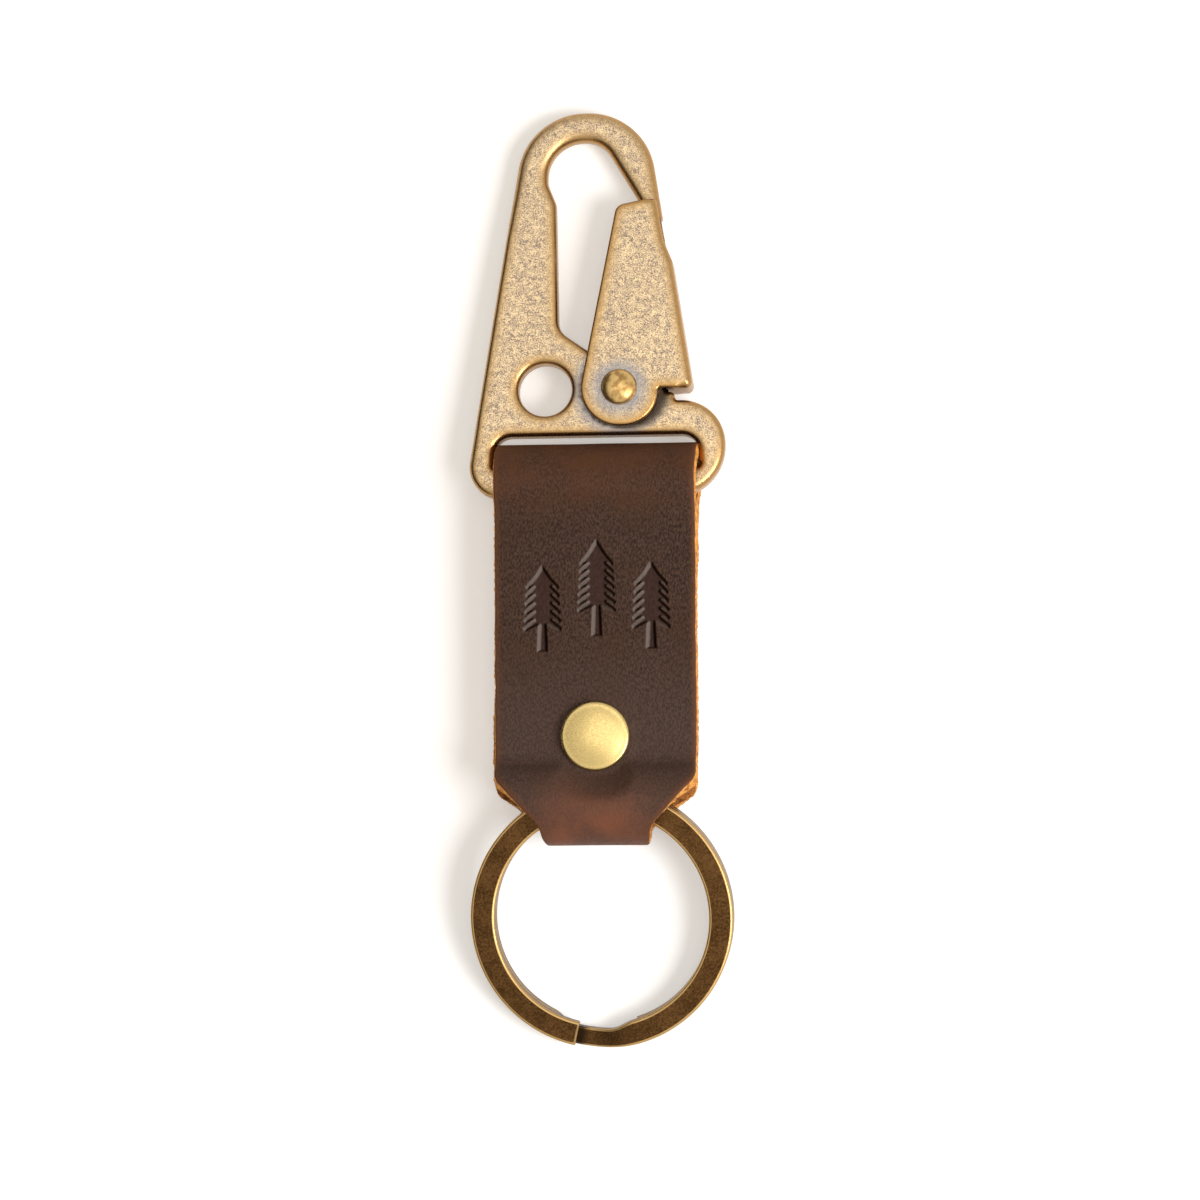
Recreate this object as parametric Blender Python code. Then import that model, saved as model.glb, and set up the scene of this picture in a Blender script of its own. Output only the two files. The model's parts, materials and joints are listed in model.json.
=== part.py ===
"""A leather keychain: one folded strap that joins a brass clip hook to a split key ring.

It lies flat on its back: +Y runs from the key ring to the hook, +Z is up, and the origin is on
the table under the middle of its length. All sizes are in metres.
"""

from math import acos, asin, atan2, ceil, cos, hypot, pi, radians, sin, sqrt, tan

import bmesh
import bpy
from mathutils import Vector

# Fits
SEAT_GAP = 0.00025
RUNNING_GAP = 0.00015
STOP_GAP = 0.0003
OVERRUN = 0.002
WELD = 0.000002
ARC_STEP = radians(12)
TURNED_SIDES = 40

# Strap: one strip of leather, folded round the hook's bar and looped round the key ring
STRAP_WIDTH = 0.0246
LEATHER = 0.0022
STRAP_SPAN = 0.0393
STRAP_SHIFT = 0.0003
FOLD_RADIUS = 0.0027
FOLD_EASE = 0.0070
LOOP_RADIUS = 0.0031
LOOP_FRONT_EASE = 0.0022
LOOP_BACK_EASE = 0.0006
NECK_WIDTH = 0.0119
NECK_REACH = 0.0052
NECK_FLARE = 0.0010
NECK_BLEND = 0.0035
SHOULDER_REACH = 0.0090
SHOULDER_ROUND = 0.0020
END_ROUND = 0.0025
END_STEPS = 5
INNER_END_LAP = 0.0006

# Rivet: a socket and a post, each with a pressed cap crimped over its flange
RIVET_RISE = 0.0079
CAP_RADIUS = 0.00425
FRONT_CAP_HEIGHT = 0.0014
BACK_CAP_HEIGHT = 0.0011
CAP_SHEET = 0.00025
CAP_EDGE_ROUND = 0.00045
CURL_WIDTH = 0.0012
FLANGE = 0.0002
RIVET_FIT = 0.0001
SOCKET_RADIUS = 0.0015
SOCKET_WALL = 0.0004
SOCKET_REACH = 0.0042
POST_RADIUS = 0.00095
POST_TIP = 0.0004
CAP_SEAT_GAP = 0.0003

# Hook: a flat cast plate with a strap slot, a lanyard hole and an eye that the gate closes
HOOK_PLATE = 0.0030
HOOK_EDGE = 0.00045
BAR_DEPTH = 0.0037
SLOT_SIDE_GAP = 0.0004
SLOT_TOP_GAP = 0.00095
SLOT_TOP_ROUND = 0.0022
SLOT_FOOT_ROUND = 0.0003
FRAME_SIDE = 0.0032
ARCH_TOP = 0.046875
LANYARD_RADIUS = 0.0033
LANYARD_SHARES = (-0.401, 0.249)
PIVOT_SHARES = (0.186, 0.2465)

# Hook corners: shares of the frame's half width and of the arch's height, with the fillet's share
# of the arch's height. The left ones run up the eye's left wall and round to the nose.
FOOT_LEFT_SHARES = (-1.034, 0.085)
FOOT_RIGHT_SHARES = (1.0, 0.0725)
HIP_ROUND_SHARE = 0.115
EYE_SHARES = (
    (0.0, 0.032),
    (-0.2987, 0.4075, 0.055),
    (-0.3176, 0.7520, 0.043),
    (-0.3836, 0.8080, 0.043),
    (-0.3836, 0.9210, 0.094),
    (0.0377, 0.9210, 0.077),
)
NOSE_SHARES = ((0.4245, 0.704, 0.006), (0.5189, 0.704, 0.006))
ARCH_SHARES = ((0.3810, 1.0, 0.179), (-0.5480, 1.0, 0.179))

# Gate: a folded channel that turns on the pivot pin, with a heel that stops on the shoulder
GATE_PLATE = 0.0009
GATE_EDGE = 0.0003
GATE_LAP = 0.0025
LOBE_RADIUS = 0.00475
HEEL_HEIGHT = 0.0019
TAIL_DROP = 0.0001
TAIL_REACH = 0.0091
TAIL_ROUND = 0.0008
NOTCH_ROUND = 0.0004
STEP_ROUND = 0.0006

# Gate corners: shares of the frame's half width, and heights as shares between the tail's foot
# and the gate's top
SPINE_TOP_SHARES = (0.597, 0.668)
SPINE_STEP_SHARES = (0.535, 0.768)
PLATE_TOP_SHARES = ((0.4717, 1.0), (0.1630, 0.96))
PLATE_ROUNDS = (0.0005, 0.0013)
TONGUE_REACH = 0.0056
SHOULDER_END = 0.00675
HIP_DROP = 0.00145
TONGUE_RISE = 0.0042
PIN_RADIUS = 0.0013
PIN_HEAD_RADIUS = 0.0022
PIN_HEAD_HEIGHT = 0.0010

# Spring: a torsion spring round the pin, in a pocket in the plate's back
WIRE = 0.0005
SPRING_GAP = 0.00042
SPRING_RADIUS = 0.0019
SPRING_START = radians(180)
SPRING_TURN = radians(510)
SPRING_STEP = radians(30)
FIXED_LEG = 0.0020

# Key ring: a split ring of two flat turns that changes level once
RING_RADIUS = 0.0161
RING_BAND = 0.00275
RING_TURN = 0.00150
RING_GAP = 0.0001
RING_EDGE = 0.00022
RING_LIFT = 0.0006
RING_UPPER_END = radians(-13)
RING_LOWER_END = radians(17.4)
RING_JOG_FROM = radians(17)
RING_JOG_TO = radians(-11)
RING_STEP = radians(8)

# Sizes worked out from the ones above
STRAP_HALF = STRAP_WIDTH / 2
NECK_HALF = NECK_WIDTH / 2
PAIR_HALF_GAP = SEAT_GAP / 2
TRIPLE_HALF_GAP = LEATHER / 2 + SEAT_GAP
BACK_LOW = max(BACK_CAP_HEIGHT + SEAT_GAP, FOLD_RADIUS - TRIPLE_HALF_GAP)
HOOK_AXIS_Z = BACK_LOW + LEATHER + TRIPLE_HALF_GAP
RING_AXIS_Z = BACK_LOW + 2 * LEATHER + SEAT_GAP + PAIR_HALF_GAP
FRONT_TOP = RING_AXIS_Z + PAIR_HALF_GAP + LEATHER

SLOT_HALF = STRAP_HALF + SLOT_SIDE_GAP
SLOT_TOP = FOLD_RADIUS + LEATHER + SLOT_TOP_GAP
FRAME_HALF = SLOT_HALF + FRAME_SIDE
PLATE_HALF = HOOK_PLATE / 2
BAR_HALF = BAR_DEPTH / 2
CHANNEL_HALF = PLATE_HALF + SEAT_GAP
GATE_HALF = CHANNEL_HALF + GATE_PLATE
PIVOT = Vector((PIVOT_SHARES[0] * FRAME_HALF, PIVOT_SHARES[1] * ARCH_TOP))
SHOULDER_DROP = TAIL_DROP + STOP_GAP
HEEL_REACH = TONGUE_REACH + STOP_GAP
PIN_HOLE_RADIUS = PIN_RADIUS + RUNNING_GAP
SPRING_LOW = -PLATE_HALF + WIRE
SPRING_HIGH = SPRING_LOW + (WIRE + SPRING_GAP) * SPRING_TURN / (2 * pi)
NOSE_LEVEL = NOSE_SHARES[0][1] * ARCH_TOP
GATE_TOP = NOSE_LEVEL + GATE_LAP

RING_HALF = RING_TURN + RING_GAP / 2
RING_MID = RING_RADIUS - RING_BAND / 2
RING_DROP = RING_MID - RING_LIFT


def lean(height, reach, low):
    """Angle by which a piece hinged at a height leans until its far low edge is on the table."""
    return asin(height / hypot(reach, low)) - atan2(low, reach)


HOOK_LEAN = lean(HOOK_AXIS_Z, GATE_TOP, GATE_HALF)
RING_LEAN = lean(RING_AXIS_Z, RING_DROP + RING_RADIUS, RING_HALF)
HOOK_REACH = ARCH_TOP * cos(HOOK_LEAN) + (PLATE_HALF - HOOK_EDGE) * sin(HOOK_LEAN)
RING_REACH = (RING_DROP + RING_RADIUS) * cos(RING_LEAN) + (RING_HALF - RING_EDGE) * sin(RING_LEAN)
HOOK_AXIS_Y = (STRAP_SPAN + RING_REACH - HOOK_REACH) / 2
RING_AXIS_Y = HOOK_AXIS_Y - STRAP_SPAN
RIVET_Y = RING_AXIS_Y + RIVET_RISE
RIVET_PLACE = (-STRAP_SHIFT, RIVET_Y, 0.0)


def clear_scene():
    for item in list(bpy.data.objects):
        bpy.data.objects.remove(item, do_unlink=True)


def material(name, colour, metallic, roughness):
    made = bpy.data.materials.new(name)
    made.use_nodes = True
    shader = made.node_tree.nodes["Principled BSDF"]
    shader.inputs["Base Color"].default_value = (*colour, 1.0)
    shader.inputs["Metallic"].default_value = metallic
    shader.inputs["Roughness"].default_value = roughness
    return made


def antique_brass(name):
    return material(name, (0.50, 0.36, 0.19), 1.0, 0.42)


def yellow_brass(name):
    return material(name, (0.66, 0.50, 0.22), 1.0, 0.32)


def add(name, bm, look=None, parent=None, place=(0.0, 0.0, 0.0)):
    """Turn a bmesh into a named object with outward faces."""
    bmesh.ops.recalc_face_normals(bm, faces=bm.faces)
    mesh = bpy.data.meshes.new(name)
    bm.to_mesh(mesh)
    bm.free()
    mesh.shade_smooth()
    mesh.set_sharp_from_angle(angle=radians(35))
    item = bpy.data.objects.new(name, mesh)
    bpy.context.collection.objects.link(item)
    item.location = place
    item.parent = parent
    if look:
        mesh.materials.append(look)
    return item


def joint_empty(name, place, lean_angle=0.0, parent=None):
    empty = bpy.data.objects.new(name, None)
    bpy.context.collection.objects.link(empty)
    empty.location = place
    empty.rotation_euler = (lean_angle, 0.0, 0.0)
    empty.parent = parent
    return empty


def cut(target, cutter):
    """Subtract a cutter, which stays in the scene as a guide only."""
    cutter.hide_render = True
    cutter.display_type = "WIRE"
    step = target.modifiers.new(cutter.name, "BOOLEAN")
    step.operation = "DIFFERENCE"
    step.object = cutter


def fillet_fits(points, tangents):
    """Share of each fillet that fits when two fillets meet on one edge."""
    count = len(points)
    fits = [1.0] * count
    for i in range(count):
        after = (i + 1) % count
        wanted = tangents[i] + tangents[after]
        room = (points[after] - points[i]).length
        if wanted > room:
            fits[i] = min(fits[i], room / wanted)
            fits[after] = min(fits[after], room / wanted)
    return fits


def rounded(corners):
    """Closed outline through corners given as (across, along, fillet radius)."""
    points = [Vector(corner[:2]) for corner in corners]
    ways = [(points[(i + 1) % len(points)] - point).normalized() for i, point in enumerate(points)]
    turns = [atan2(ways[i - 1].cross(way), ways[i - 1].dot(way)) for i, way in enumerate(ways)]
    tangents = [corner[2] * tan(abs(turn) / 2) for corner, turn in zip(corners, turns)]
    fits = fillet_fits(points, tangents)
    outline = []
    for i, point in enumerate(points):
        start = point - ways[i - 1] * tangents[i] * fits[i]
        radius = corners[i][2] * fits[i]
        side = 1 if turns[i] > 0 else -1
        heading = atan2(ways[i - 1].y, ways[i - 1].x)
        steps = ceil(abs(turns[i]) / ARC_STEP)
        for k in range(steps + 1):
            bend = turns[i] * k / steps if steps else 0.0
            across = radius * (sin(heading + bend) - sin(heading)) * side
            along = -radius * (cos(heading + bend) - cos(heading)) * side
            found = start + Vector((across, along))
            if not outline or (found - outline[-1]).length > WELD:
                outline.append(found)
    if (outline[0] - outline[-1]).length <= WELD:
        outline.pop()
    return outline


def circle(centre, radius, sides=TURNED_SIDES):
    angles = [2 * pi * k / sides for k in range(sides)]
    return [Vector((centre[0] + radius * cos(a), centre[1] + radius * sin(a))) for a in angles]


def inset(outline, distance):
    """Outline moved to its left by a distance, with mitred corners."""
    moved = []
    for i, point in enumerate(outline):
        before = (point - outline[i - 1]).normalized()
        after = (outline[(i + 1) % len(outline)] - point).normalized()
        left = Vector((-before.y - after.y, before.x + after.x))
        moved.append(point + left * distance / (1 + before.dot(after)))
    return moved


def plate(name, outline, low, high, edge=0.0, holes=(), look=None, parent=None):
    """Flat plate between two levels, with its rims cut back by the edge size.

    The outline runs counterclockwise and each hole clockwise, so both are cut back to the left.
    """
    bm = bmesh.new()
    rims = []
    for loop in (outline, *holes):
        shapes = [(loop, low), (loop, high)]
        if edge:
            shrunk = inset(loop, edge)
            shapes = [(shrunk, low), (loop, low + edge), (loop, high - edge), (shrunk, high)]
        rings = [[bm.verts.new((*point, level)) for point in shape] for shape, level in shapes]
        for lower, upper in zip(rings, rings[1:]):
            for i in range(len(loop)):
                bm.faces.new((lower[i - 1], lower[i], upper[i], upper[i - 1]))
        rims.append((rings[0], rings[-1]))
    for side in (0, 1):
        edges = []
        for rim in rims:
            edges += [bm.edges.get((rim[side][i - 1], rim[side][i])) for i in range(len(rim[side]))]
        bmesh.ops.triangle_fill(bm, edges=edges, use_beauty=True)
    return add(name, bm, look, parent)


def turned(name, profile, look=None, parent=None, place=(0.0, 0.0, 0.0), sides=TURNED_SIDES):
    """Body turned about its own Z axis from a section given as (radius, height) points.

    A section that starts and ends on the axis is left open there, and any other one is closed.
    """
    bm = bmesh.new()
    columns = []
    for radius, height in profile:
        count = sides if radius > 0 else 1
        angles = [2 * pi * k / count for k in range(count)]
        columns.append([bm.verts.new((radius * cos(a), radius * sin(a), height)) for a in angles])
    closed = profile[0][0] > 0
    pairs = list(zip(columns, columns[1:])) + ([(columns[-1], columns[0])] if closed else [])
    for one, two in pairs:
        for k in range(sides):
            lower = [one[k - 1], one[k]] if len(one) > 1 else [one[0]]
            upper = [two[k], two[k - 1]] if len(two) > 1 else [two[0]]
            bm.faces.new(lower + upper)
    return add(name, bm, look, parent, place)


def block(name, low, high, parent=None):
    """Box cutter between two opposite corners."""
    outline = [Vector((low[0], low[1])), Vector((high[0], low[1]))]
    outline += [Vector((high[0], high[1])), Vector((low[0], high[1]))]
    return plate(name, outline, low[2], high[2], parent=parent)


def drum(name, radius, low, high, parent=None, place=(0.0, 0.0, 0.0)):
    """Round cutter about its own Z axis."""
    return turned(name, [(0.0, low), (radius, low), (radius, high), (0.0, high)], None, parent, place)


def corner(shares):
    """Corner in metres from shares of the frame's half width and of the arch's height."""
    return (shares[0] * FRAME_HALF, shares[1] * ARCH_TOP, shares[2] * ARCH_TOP)


def hook_outline():
    """Outline of the hook about its bar, from the bar's right end and counterclockwise."""
    tongue_side = PIVOT.x + TONGUE_REACH
    tongue_top = PIVOT.y + TONGUE_RISE
    corners = [(FOOT_RIGHT_SHARES[0] * FRAME_HALF, -BAR_HALF, FOOT_RIGHT_SHARES[1] * ARCH_TOP)]
    corners.append((FRAME_HALF, PIVOT.y - HIP_DROP, HIP_ROUND_SHARE * ARCH_TOP))
    corners.append((PIVOT.x + SHOULDER_END, PIVOT.y - HIP_DROP, NOTCH_ROUND))
    corners.append((PIVOT.x + SHOULDER_END, PIVOT.y - SHOULDER_DROP, STEP_ROUND))
    corners.append((tongue_side, PIVOT.y - SHOULDER_DROP, NOTCH_ROUND))
    corners.append((tongue_side, tongue_top, TONGUE_RISE))
    corners.append((EYE_SHARES[0][0] * FRAME_HALF, tongue_top, EYE_SHARES[0][1] * ARCH_TOP))
    corners += [corner(shares) for shares in (*EYE_SHARES[1:], *NOSE_SHARES, *ARCH_SHARES)]
    corners.append((FOOT_LEFT_SHARES[0] * FRAME_HALF, -BAR_HALF, FOOT_LEFT_SHARES[1] * ARCH_TOP))
    return rounded(corners)


def slot_outline():
    """Strap slot, clockwise: nearly square at the bar, rounded above it."""
    return rounded(
        [
            (-SLOT_HALF, BAR_HALF, SLOT_FOOT_ROUND),
            (-SLOT_HALF, SLOT_TOP, SLOT_TOP_ROUND),
            (SLOT_HALF, SLOT_TOP, SLOT_TOP_ROUND),
            (SLOT_HALF, BAR_HALF, SLOT_FOOT_ROUND),
        ]
    )


def build_hook(hook):
    look = antique_brass("hook_brass")
    lanyard = circle((LANYARD_SHARES[0] * FRAME_HALF, LANYARD_SHARES[1] * ARCH_TOP), LANYARD_RADIUS)
    bore = circle(PIVOT, PIN_HOLE_RADIUS)
    holes = (slot_outline(), lanyard[::-1], bore[::-1])
    body = plate("hook_body", hook_outline(), -PLATE_HALF, PLATE_HALF, HOOK_EDGE, holes, look, hook)
    spring_pocket(body, hook)


def pocket_outline():
    """Round pocket about the pin with a notch up its left side for the spring's fixed leg."""
    radius = SPRING_RADIUS + WIRE
    notch_right = WIRE - SPRING_RADIUS
    notch_top = FIXED_LEG + WIRE
    turn = 2 * pi - (SPRING_START - acos(notch_right / radius))
    count = ceil(turn / ARC_STEP)
    angles = [SPRING_START + turn * k / count for k in range(count + 1)]
    outline = [Vector((radius * cos(angle), radius * sin(angle))) for angle in angles]
    outline += [Vector((notch_right, notch_top)), Vector((-radius, notch_top))]
    return [PIVOT + point for point in outline]


def spring_pocket(body, hook):
    """Pocket in the plate's back for the coil, and a shallow way out for its moving leg."""
    back = -PLATE_HALF - OVERRUN
    floor = SPRING_HIGH + WIRE / 2 + RUNNING_GAP
    cut(body, plate("spring_pocket", pocket_outline(), back, floor, parent=hook))
    low = (PIVOT.x, PIVOT.y - WIRE, back)
    high = (PIVOT.x + TONGUE_REACH - 2 * WIRE, PIVOT.y + TONGUE_RISE + OVERRUN, SPRING_LOW + WIRE)
    cut(body, block("moving_leg_way", low, high, hook))


def gate_height(share):
    """Height on the gate, as a share of the way from the tail's foot to the gate's top."""
    return -TAIL_DROP + share * (GATE_TOP - PIVOT.y + TAIL_DROP)


def gate_point(shares):
    """Point about the pivot from shares of the frame's half width and of the gate's height."""
    return (shares[0] * FRAME_HALF - PIVOT.x, gate_height(shares[1]))


def lobe_corner(start):
    """Where the line from a point down the lobe's left side meets the lobe's lowest level."""
    away = hypot(*start)
    heading = atan2(-start[1], -start[0]) - asin(LOBE_RADIUS / away)
    drop = start[1] + LOBE_RADIUS
    return (start[0] - drop / tan(heading), -LOBE_RADIUS)


def gate_outline():
    """Outline of the gate about the pivot, from the tail's foot and counterclockwise."""
    top_right, top_left = (gate_point(shares) for shares in PLATE_TOP_SHARES)
    return rounded(
        [
            (TAIL_REACH, -TAIL_DROP, TAIL_ROUND),
            (*gate_point(SPINE_TOP_SHARES), TAIL_ROUND),
            (*gate_point(SPINE_STEP_SHARES), TAIL_ROUND),
            (*top_right, PLATE_ROUNDS[0]),
            (*top_left, PLATE_ROUNDS[1]),
            (*lobe_corner(top_left), LOBE_RADIUS),
            (LOBE_RADIUS, -LOBE_RADIUS, LOBE_RADIUS),
            (LOBE_RADIUS, -TAIL_DROP, NOTCH_ROUND),
        ]
    )


def channel_outline():
    """Space between the gate's plates: all but the spine and the heel at its foot."""
    foot = Vector((TAIL_REACH, -TAIL_DROP))
    top = Vector(gate_point(SPINE_TOP_SHARES))
    rise = (top - foot).normalized()
    inner_foot = foot + Vector((-rise.y, rise.x)) * GATE_PLATE
    heel_top = inner_foot + rise * (HEEL_HEIGHT / rise.y)
    spine_end = gate_height(SPINE_STEP_SHARES[1])
    inner_end = inner_foot + rise * ((spine_end - inner_foot.y) / rise.y)
    right = TAIL_REACH + OVERRUN
    high = GATE_TOP - PIVOT.y + OVERRUN
    low = -LOBE_RADIUS - OVERRUN
    left = -LOBE_RADIUS - OVERRUN
    corners = [(left, low), (HEEL_REACH, low), (HEEL_REACH, heel_top.y), heel_top, inner_end]
    corners += [(right, spine_end), (right, high), (left, high)]
    return [Vector(point) for point in corners]


def build_gate(pivot):
    look = antique_brass("gate_brass")
    gate = plate("hook_gate", gate_outline(), -GATE_HALF, GATE_HALF, GATE_EDGE, (), look, pivot)
    channel = plate("gate_channel", channel_outline(), -CHANNEL_HALF, CHANNEL_HALF, parent=pivot)
    cut(gate, channel)
    reach = GATE_HALF + OVERRUN
    cut(gate, drum("gate_pin_bore", PIN_HOLE_RADIUS, -reach, reach, pivot))


def build_pin(hook):
    """Pivot pin with a domed head on each side of the gate."""
    seat = GATE_HALF + RUNNING_GAP
    steps = 6
    arcs = [radians(90) * k / steps for k in range(steps + 1)]
    dome = [(PIN_HEAD_RADIUS * cos(a), PIN_HEAD_HEIGHT * sin(a)) for a in arcs[:-1]]
    dome.append((0.0, PIN_HEAD_HEIGHT))
    upper = [(PIN_RADIUS, seat)] + [(radius, seat + height) for radius, height in dome]
    lower = [(radius, -height) for radius, height in reversed(upper)]
    turned("gate_pivot_pin", lower + upper, yellow_brass("pin_brass"), hook, (*PIVOT, 0.0))


def spring_route():
    """Wire's centre line about the pivot: fixed leg, coil, then the leg that bears on the spine."""
    start = Vector((SPRING_RADIUS * cos(SPRING_START), SPRING_RADIUS * sin(SPRING_START), SPRING_HIGH))
    route = [start + Vector((0.0, FIXED_LEG, 0.0))]
    steps = ceil(SPRING_TURN / SPRING_STEP)
    for k in range(steps + 1):
        angle = SPRING_START + SPRING_TURN * k / steps
        level = SPRING_HIGH + (SPRING_LOW - SPRING_HIGH) * k / steps
        route.append(Vector((SPRING_RADIUS * cos(angle), SPRING_RADIUS * sin(angle), level)))
    return route, route[-1], SPRING_START + SPRING_TURN + radians(90)


def moving_leg_end(start, heading):
    """Where the moving leg meets the spine's inner face, less the wire and its seat."""
    foot = Vector((TAIL_REACH, -TAIL_DROP))
    rise = (Vector(gate_point(SPINE_TOP_SHARES)) - foot).normalized()
    out = Vector((rise.y, -rise.x))
    room = foot.dot(out) - GATE_PLATE - SEAT_GAP - WIRE / 2 - start.to_2d().dot(out)
    way = Vector((cos(heading), sin(heading)))
    return start + (way * room / way.dot(out)).to_3d()


def least_gap(route):
    """Least gap between turns of the coil, from points more than half a turn apart."""
    apart = ceil(pi / SPRING_STEP)
    gaps = [(b - a).length for i, a in enumerate(route) for b in route[i + apart:]]
    return min(gaps) - WIRE


def build_spring(hook):
    coil, last, heading = spring_route()
    route = coil + [moving_leg_end(last, heading)]
    print(f"gate_spring: least gap to itself {least_gap(route) * 1000:.2f} mm")
    curve = bpy.data.curves.new("gate_spring", "CURVE")
    curve.dimensions = "3D"
    curve.bevel_depth = WIRE / 2
    curve.bevel_resolution = 1
    curve.use_fill_caps = True
    line = curve.splines.new("POLY")
    line.points.add(len(route) - 1)
    for point, place in zip(line.points, route):
        point.co = (*place, 1.0)
    curve.materials.append(material("spring_steel", (0.45, 0.45, 0.46), 1.0, 0.35))
    spring = bpy.data.objects.new("gate_spring", curve)
    bpy.context.collection.objects.link(spring)
    spring.location = (*PIVOT, 0.0)
    spring.parent = hook


def bend(inside, turn):
    """Piece of the strap's middle line that bends by an angle, with its inner face at a radius."""
    return ((inside + LEATHER / 2) * abs(turn), turn)


def ease_angle(inside, half_gap, ease):
    """Angle at which a round loop meets the reverse bend that leads it into the flat layers."""
    middle = inside + LEATHER / 2
    back = ease + LEATHER / 2
    return acos((half_gap + LEATHER / 2 + back) / (middle + back))


def ease_reach(inside, half_gap, ease):
    """Distance from a loop's axis to where its layers turn flat."""
    middle = inside + LEATHER / 2
    back = ease + LEATHER / 2
    return sqrt((middle + back) ** 2 - (half_gap + LEATHER / 2 + back) ** 2)


def strap_track():
    """Pieces (length, turn) of the strap's middle line, its start and the loop's far point.

    It starts at the inner end above the rivet, goes down round the key ring, up the front,
    round the hook's bar and down the back to the end below the rivet.
    """
    back_angle = ease_angle(LOOP_RADIUS, PAIR_HALF_GAP, LOOP_BACK_EASE)
    front_angle = ease_angle(LOOP_RADIUS, PAIR_HALF_GAP, LOOP_FRONT_EASE)
    fold_angle = ease_angle(FOLD_RADIUS, TRIPLE_HALF_GAP, FOLD_EASE)
    back_flat = RING_AXIS_Y + ease_reach(LOOP_RADIUS, PAIR_HALF_GAP, LOOP_BACK_EASE)
    front_flat = RING_AXIS_Y + ease_reach(LOOP_RADIUS, PAIR_HALF_GAP, LOOP_FRONT_EASE)
    fold_flat = HOOK_AXIS_Y - ease_reach(FOLD_RADIUS, TRIPLE_HALF_GAP, FOLD_EASE)
    inner_end = RIVET_Y + CAP_RADIUS + INNER_END_LAP
    pieces = [
        (inner_end - back_flat, 0.0),
        bend(LOOP_BACK_EASE, back_angle),
        bend(LOOP_RADIUS, -back_angle - pi / 2),
        bend(LOOP_RADIUS, -front_angle - pi / 2),
        bend(LOOP_FRONT_EASE, front_angle),
        (fold_flat - front_flat, 0.0),
        bend(FOLD_EASE, fold_angle),
        bend(FOLD_RADIUS, -2 * fold_angle - pi),
        bend(FOLD_EASE, fold_angle),
        (fold_flat - back_flat, 0.0),
    ]
    start = Vector((inner_end, RING_AXIS_Z - PAIR_HALF_GAP - LEATHER / 2))
    far_point = sum(length for length, turn in pieces[:3])
    return pieces, start, far_point


def locate(pieces, start, distance):
    """Point and heading at a distance along the middle line, in the Y-Z plane."""
    place, heading = start.copy(), pi
    for length, turn in pieces:
        part = min(distance, length)
        bent = turn * part / length
        if turn:
            radius = length / turn
            place.x += radius * (sin(heading + bent) - sin(heading))
            place.y -= radius * (cos(heading + bent) - cos(heading))
        else:
            place += Vector((cos(heading), sin(heading))) * part
        heading += bent
        distance -= part
        if distance <= 0:
            break
    return place, heading


def neck_profile():
    """Half width of the strap against its distance from the loop's far point, where it is least."""
    beyond = SHOULDER_REACH + STRAP_WIDTH
    loop = rounded(
        [
            (-beyond, -STRAP_HALF, 0.0),
            (beyond, -STRAP_HALF, 0.0),
            (beyond, STRAP_HALF, 0.0),
            (SHOULDER_REACH, STRAP_HALF, SHOULDER_ROUND),
            (NECK_REACH, NECK_HALF + NECK_FLARE, NECK_BLEND),
            (0.0, NECK_HALF, 0.0),
            (-beyond, NECK_HALF, 0.0),
        ]
    )
    return sorted((tuple(point) for point in loop if point.y > 0), key=lambda point: point[0])


def half_width(distance, total, far_point, profile):
    """Half width at a distance: narrow at the neck, full elsewhere, rounded at both ends."""
    away = abs(distance - far_point)
    width = profile[-1][1]
    for (near, near_width), (far, far_width) in zip(profile, profile[1:]):
        if near <= away <= far:
            width = near_width + (far_width - near_width) * (away - near) / (far - near)
            break
    end = min(distance, total - distance)
    if end < END_ROUND:
        width -= END_ROUND - sqrt(END_ROUND**2 - (END_ROUND - end) ** 2)
    return width


def strap_stations(pieces, far_point, profile):
    """Distances along the strap where its bend or its width changes."""
    stops, done = {0.0}, 0.0
    for length, turn in pieces:
        steps = max(1, ceil(abs(turn) / ARC_STEP))
        stops |= {done + length * k / steps for k in range(1, steps + 1)}
        done += length
    for away, width in profile:
        if 0 < away < SHOULDER_REACH + SHOULDER_ROUND:
            stops |= {far_point - away, far_point + away}
    for k in range(1, END_STEPS):
        rise = END_ROUND * (1 - cos(radians(90) * k / END_STEPS))
        stops |= {rise, done - rise}
    kept = []
    for stop in sorted(stops):
        if not kept or stop - kept[-1] > SEAT_GAP:
            kept.append(stop)
    return kept[:-1] + [done]


def build_strap():
    pieces, start, far_point = strap_track()
    profile = neck_profile()
    stops = strap_stations(pieces, far_point, profile)
    bm = bmesh.new()
    rings = []
    for stop in stops:
        place, heading = locate(pieces, start, stop)
        normal = Vector((-sin(heading), cos(heading))) * (LEATHER / 2)
        width = half_width(stop, stops[-1], far_point, profile)
        inner, outer = place - normal, place + normal
        corners = ((-width, inner), (width, inner), (width, outer), (-width, outer))
        rings.append([bm.verts.new((across, point.x, point.y)) for across, point in corners])
    for one, two in zip(rings, rings[1:]):
        for k in range(4):
            bm.faces.new((one[k - 1], one[k], two[k], two[k - 1]))
    bm.faces.new(rings[0])
    bm.faces.new(rings[-1])
    leather = material("leather", (0.085, 0.05, 0.035), 0.0, 0.62)
    strap = add("leather_strap", bm, leather, None, (-STRAP_SHIFT, 0.0, 0.0))
    hole = drum("rivet_hole", SOCKET_RADIUS + RUNNING_GAP, 0.0, FRONT_TOP + OVERRUN, place=RIVET_PLACE)
    cut(strap, hole)
    seat_high = FRONT_TOP + FRONT_CAP_HEIGHT + OVERRUN
    seat = drum("cap_seat", CAP_RADIUS + CAP_SEAT_GAP, FRONT_TOP + WELD, seat_high, place=RIVET_PLACE)
    cut(strap, seat)


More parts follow.
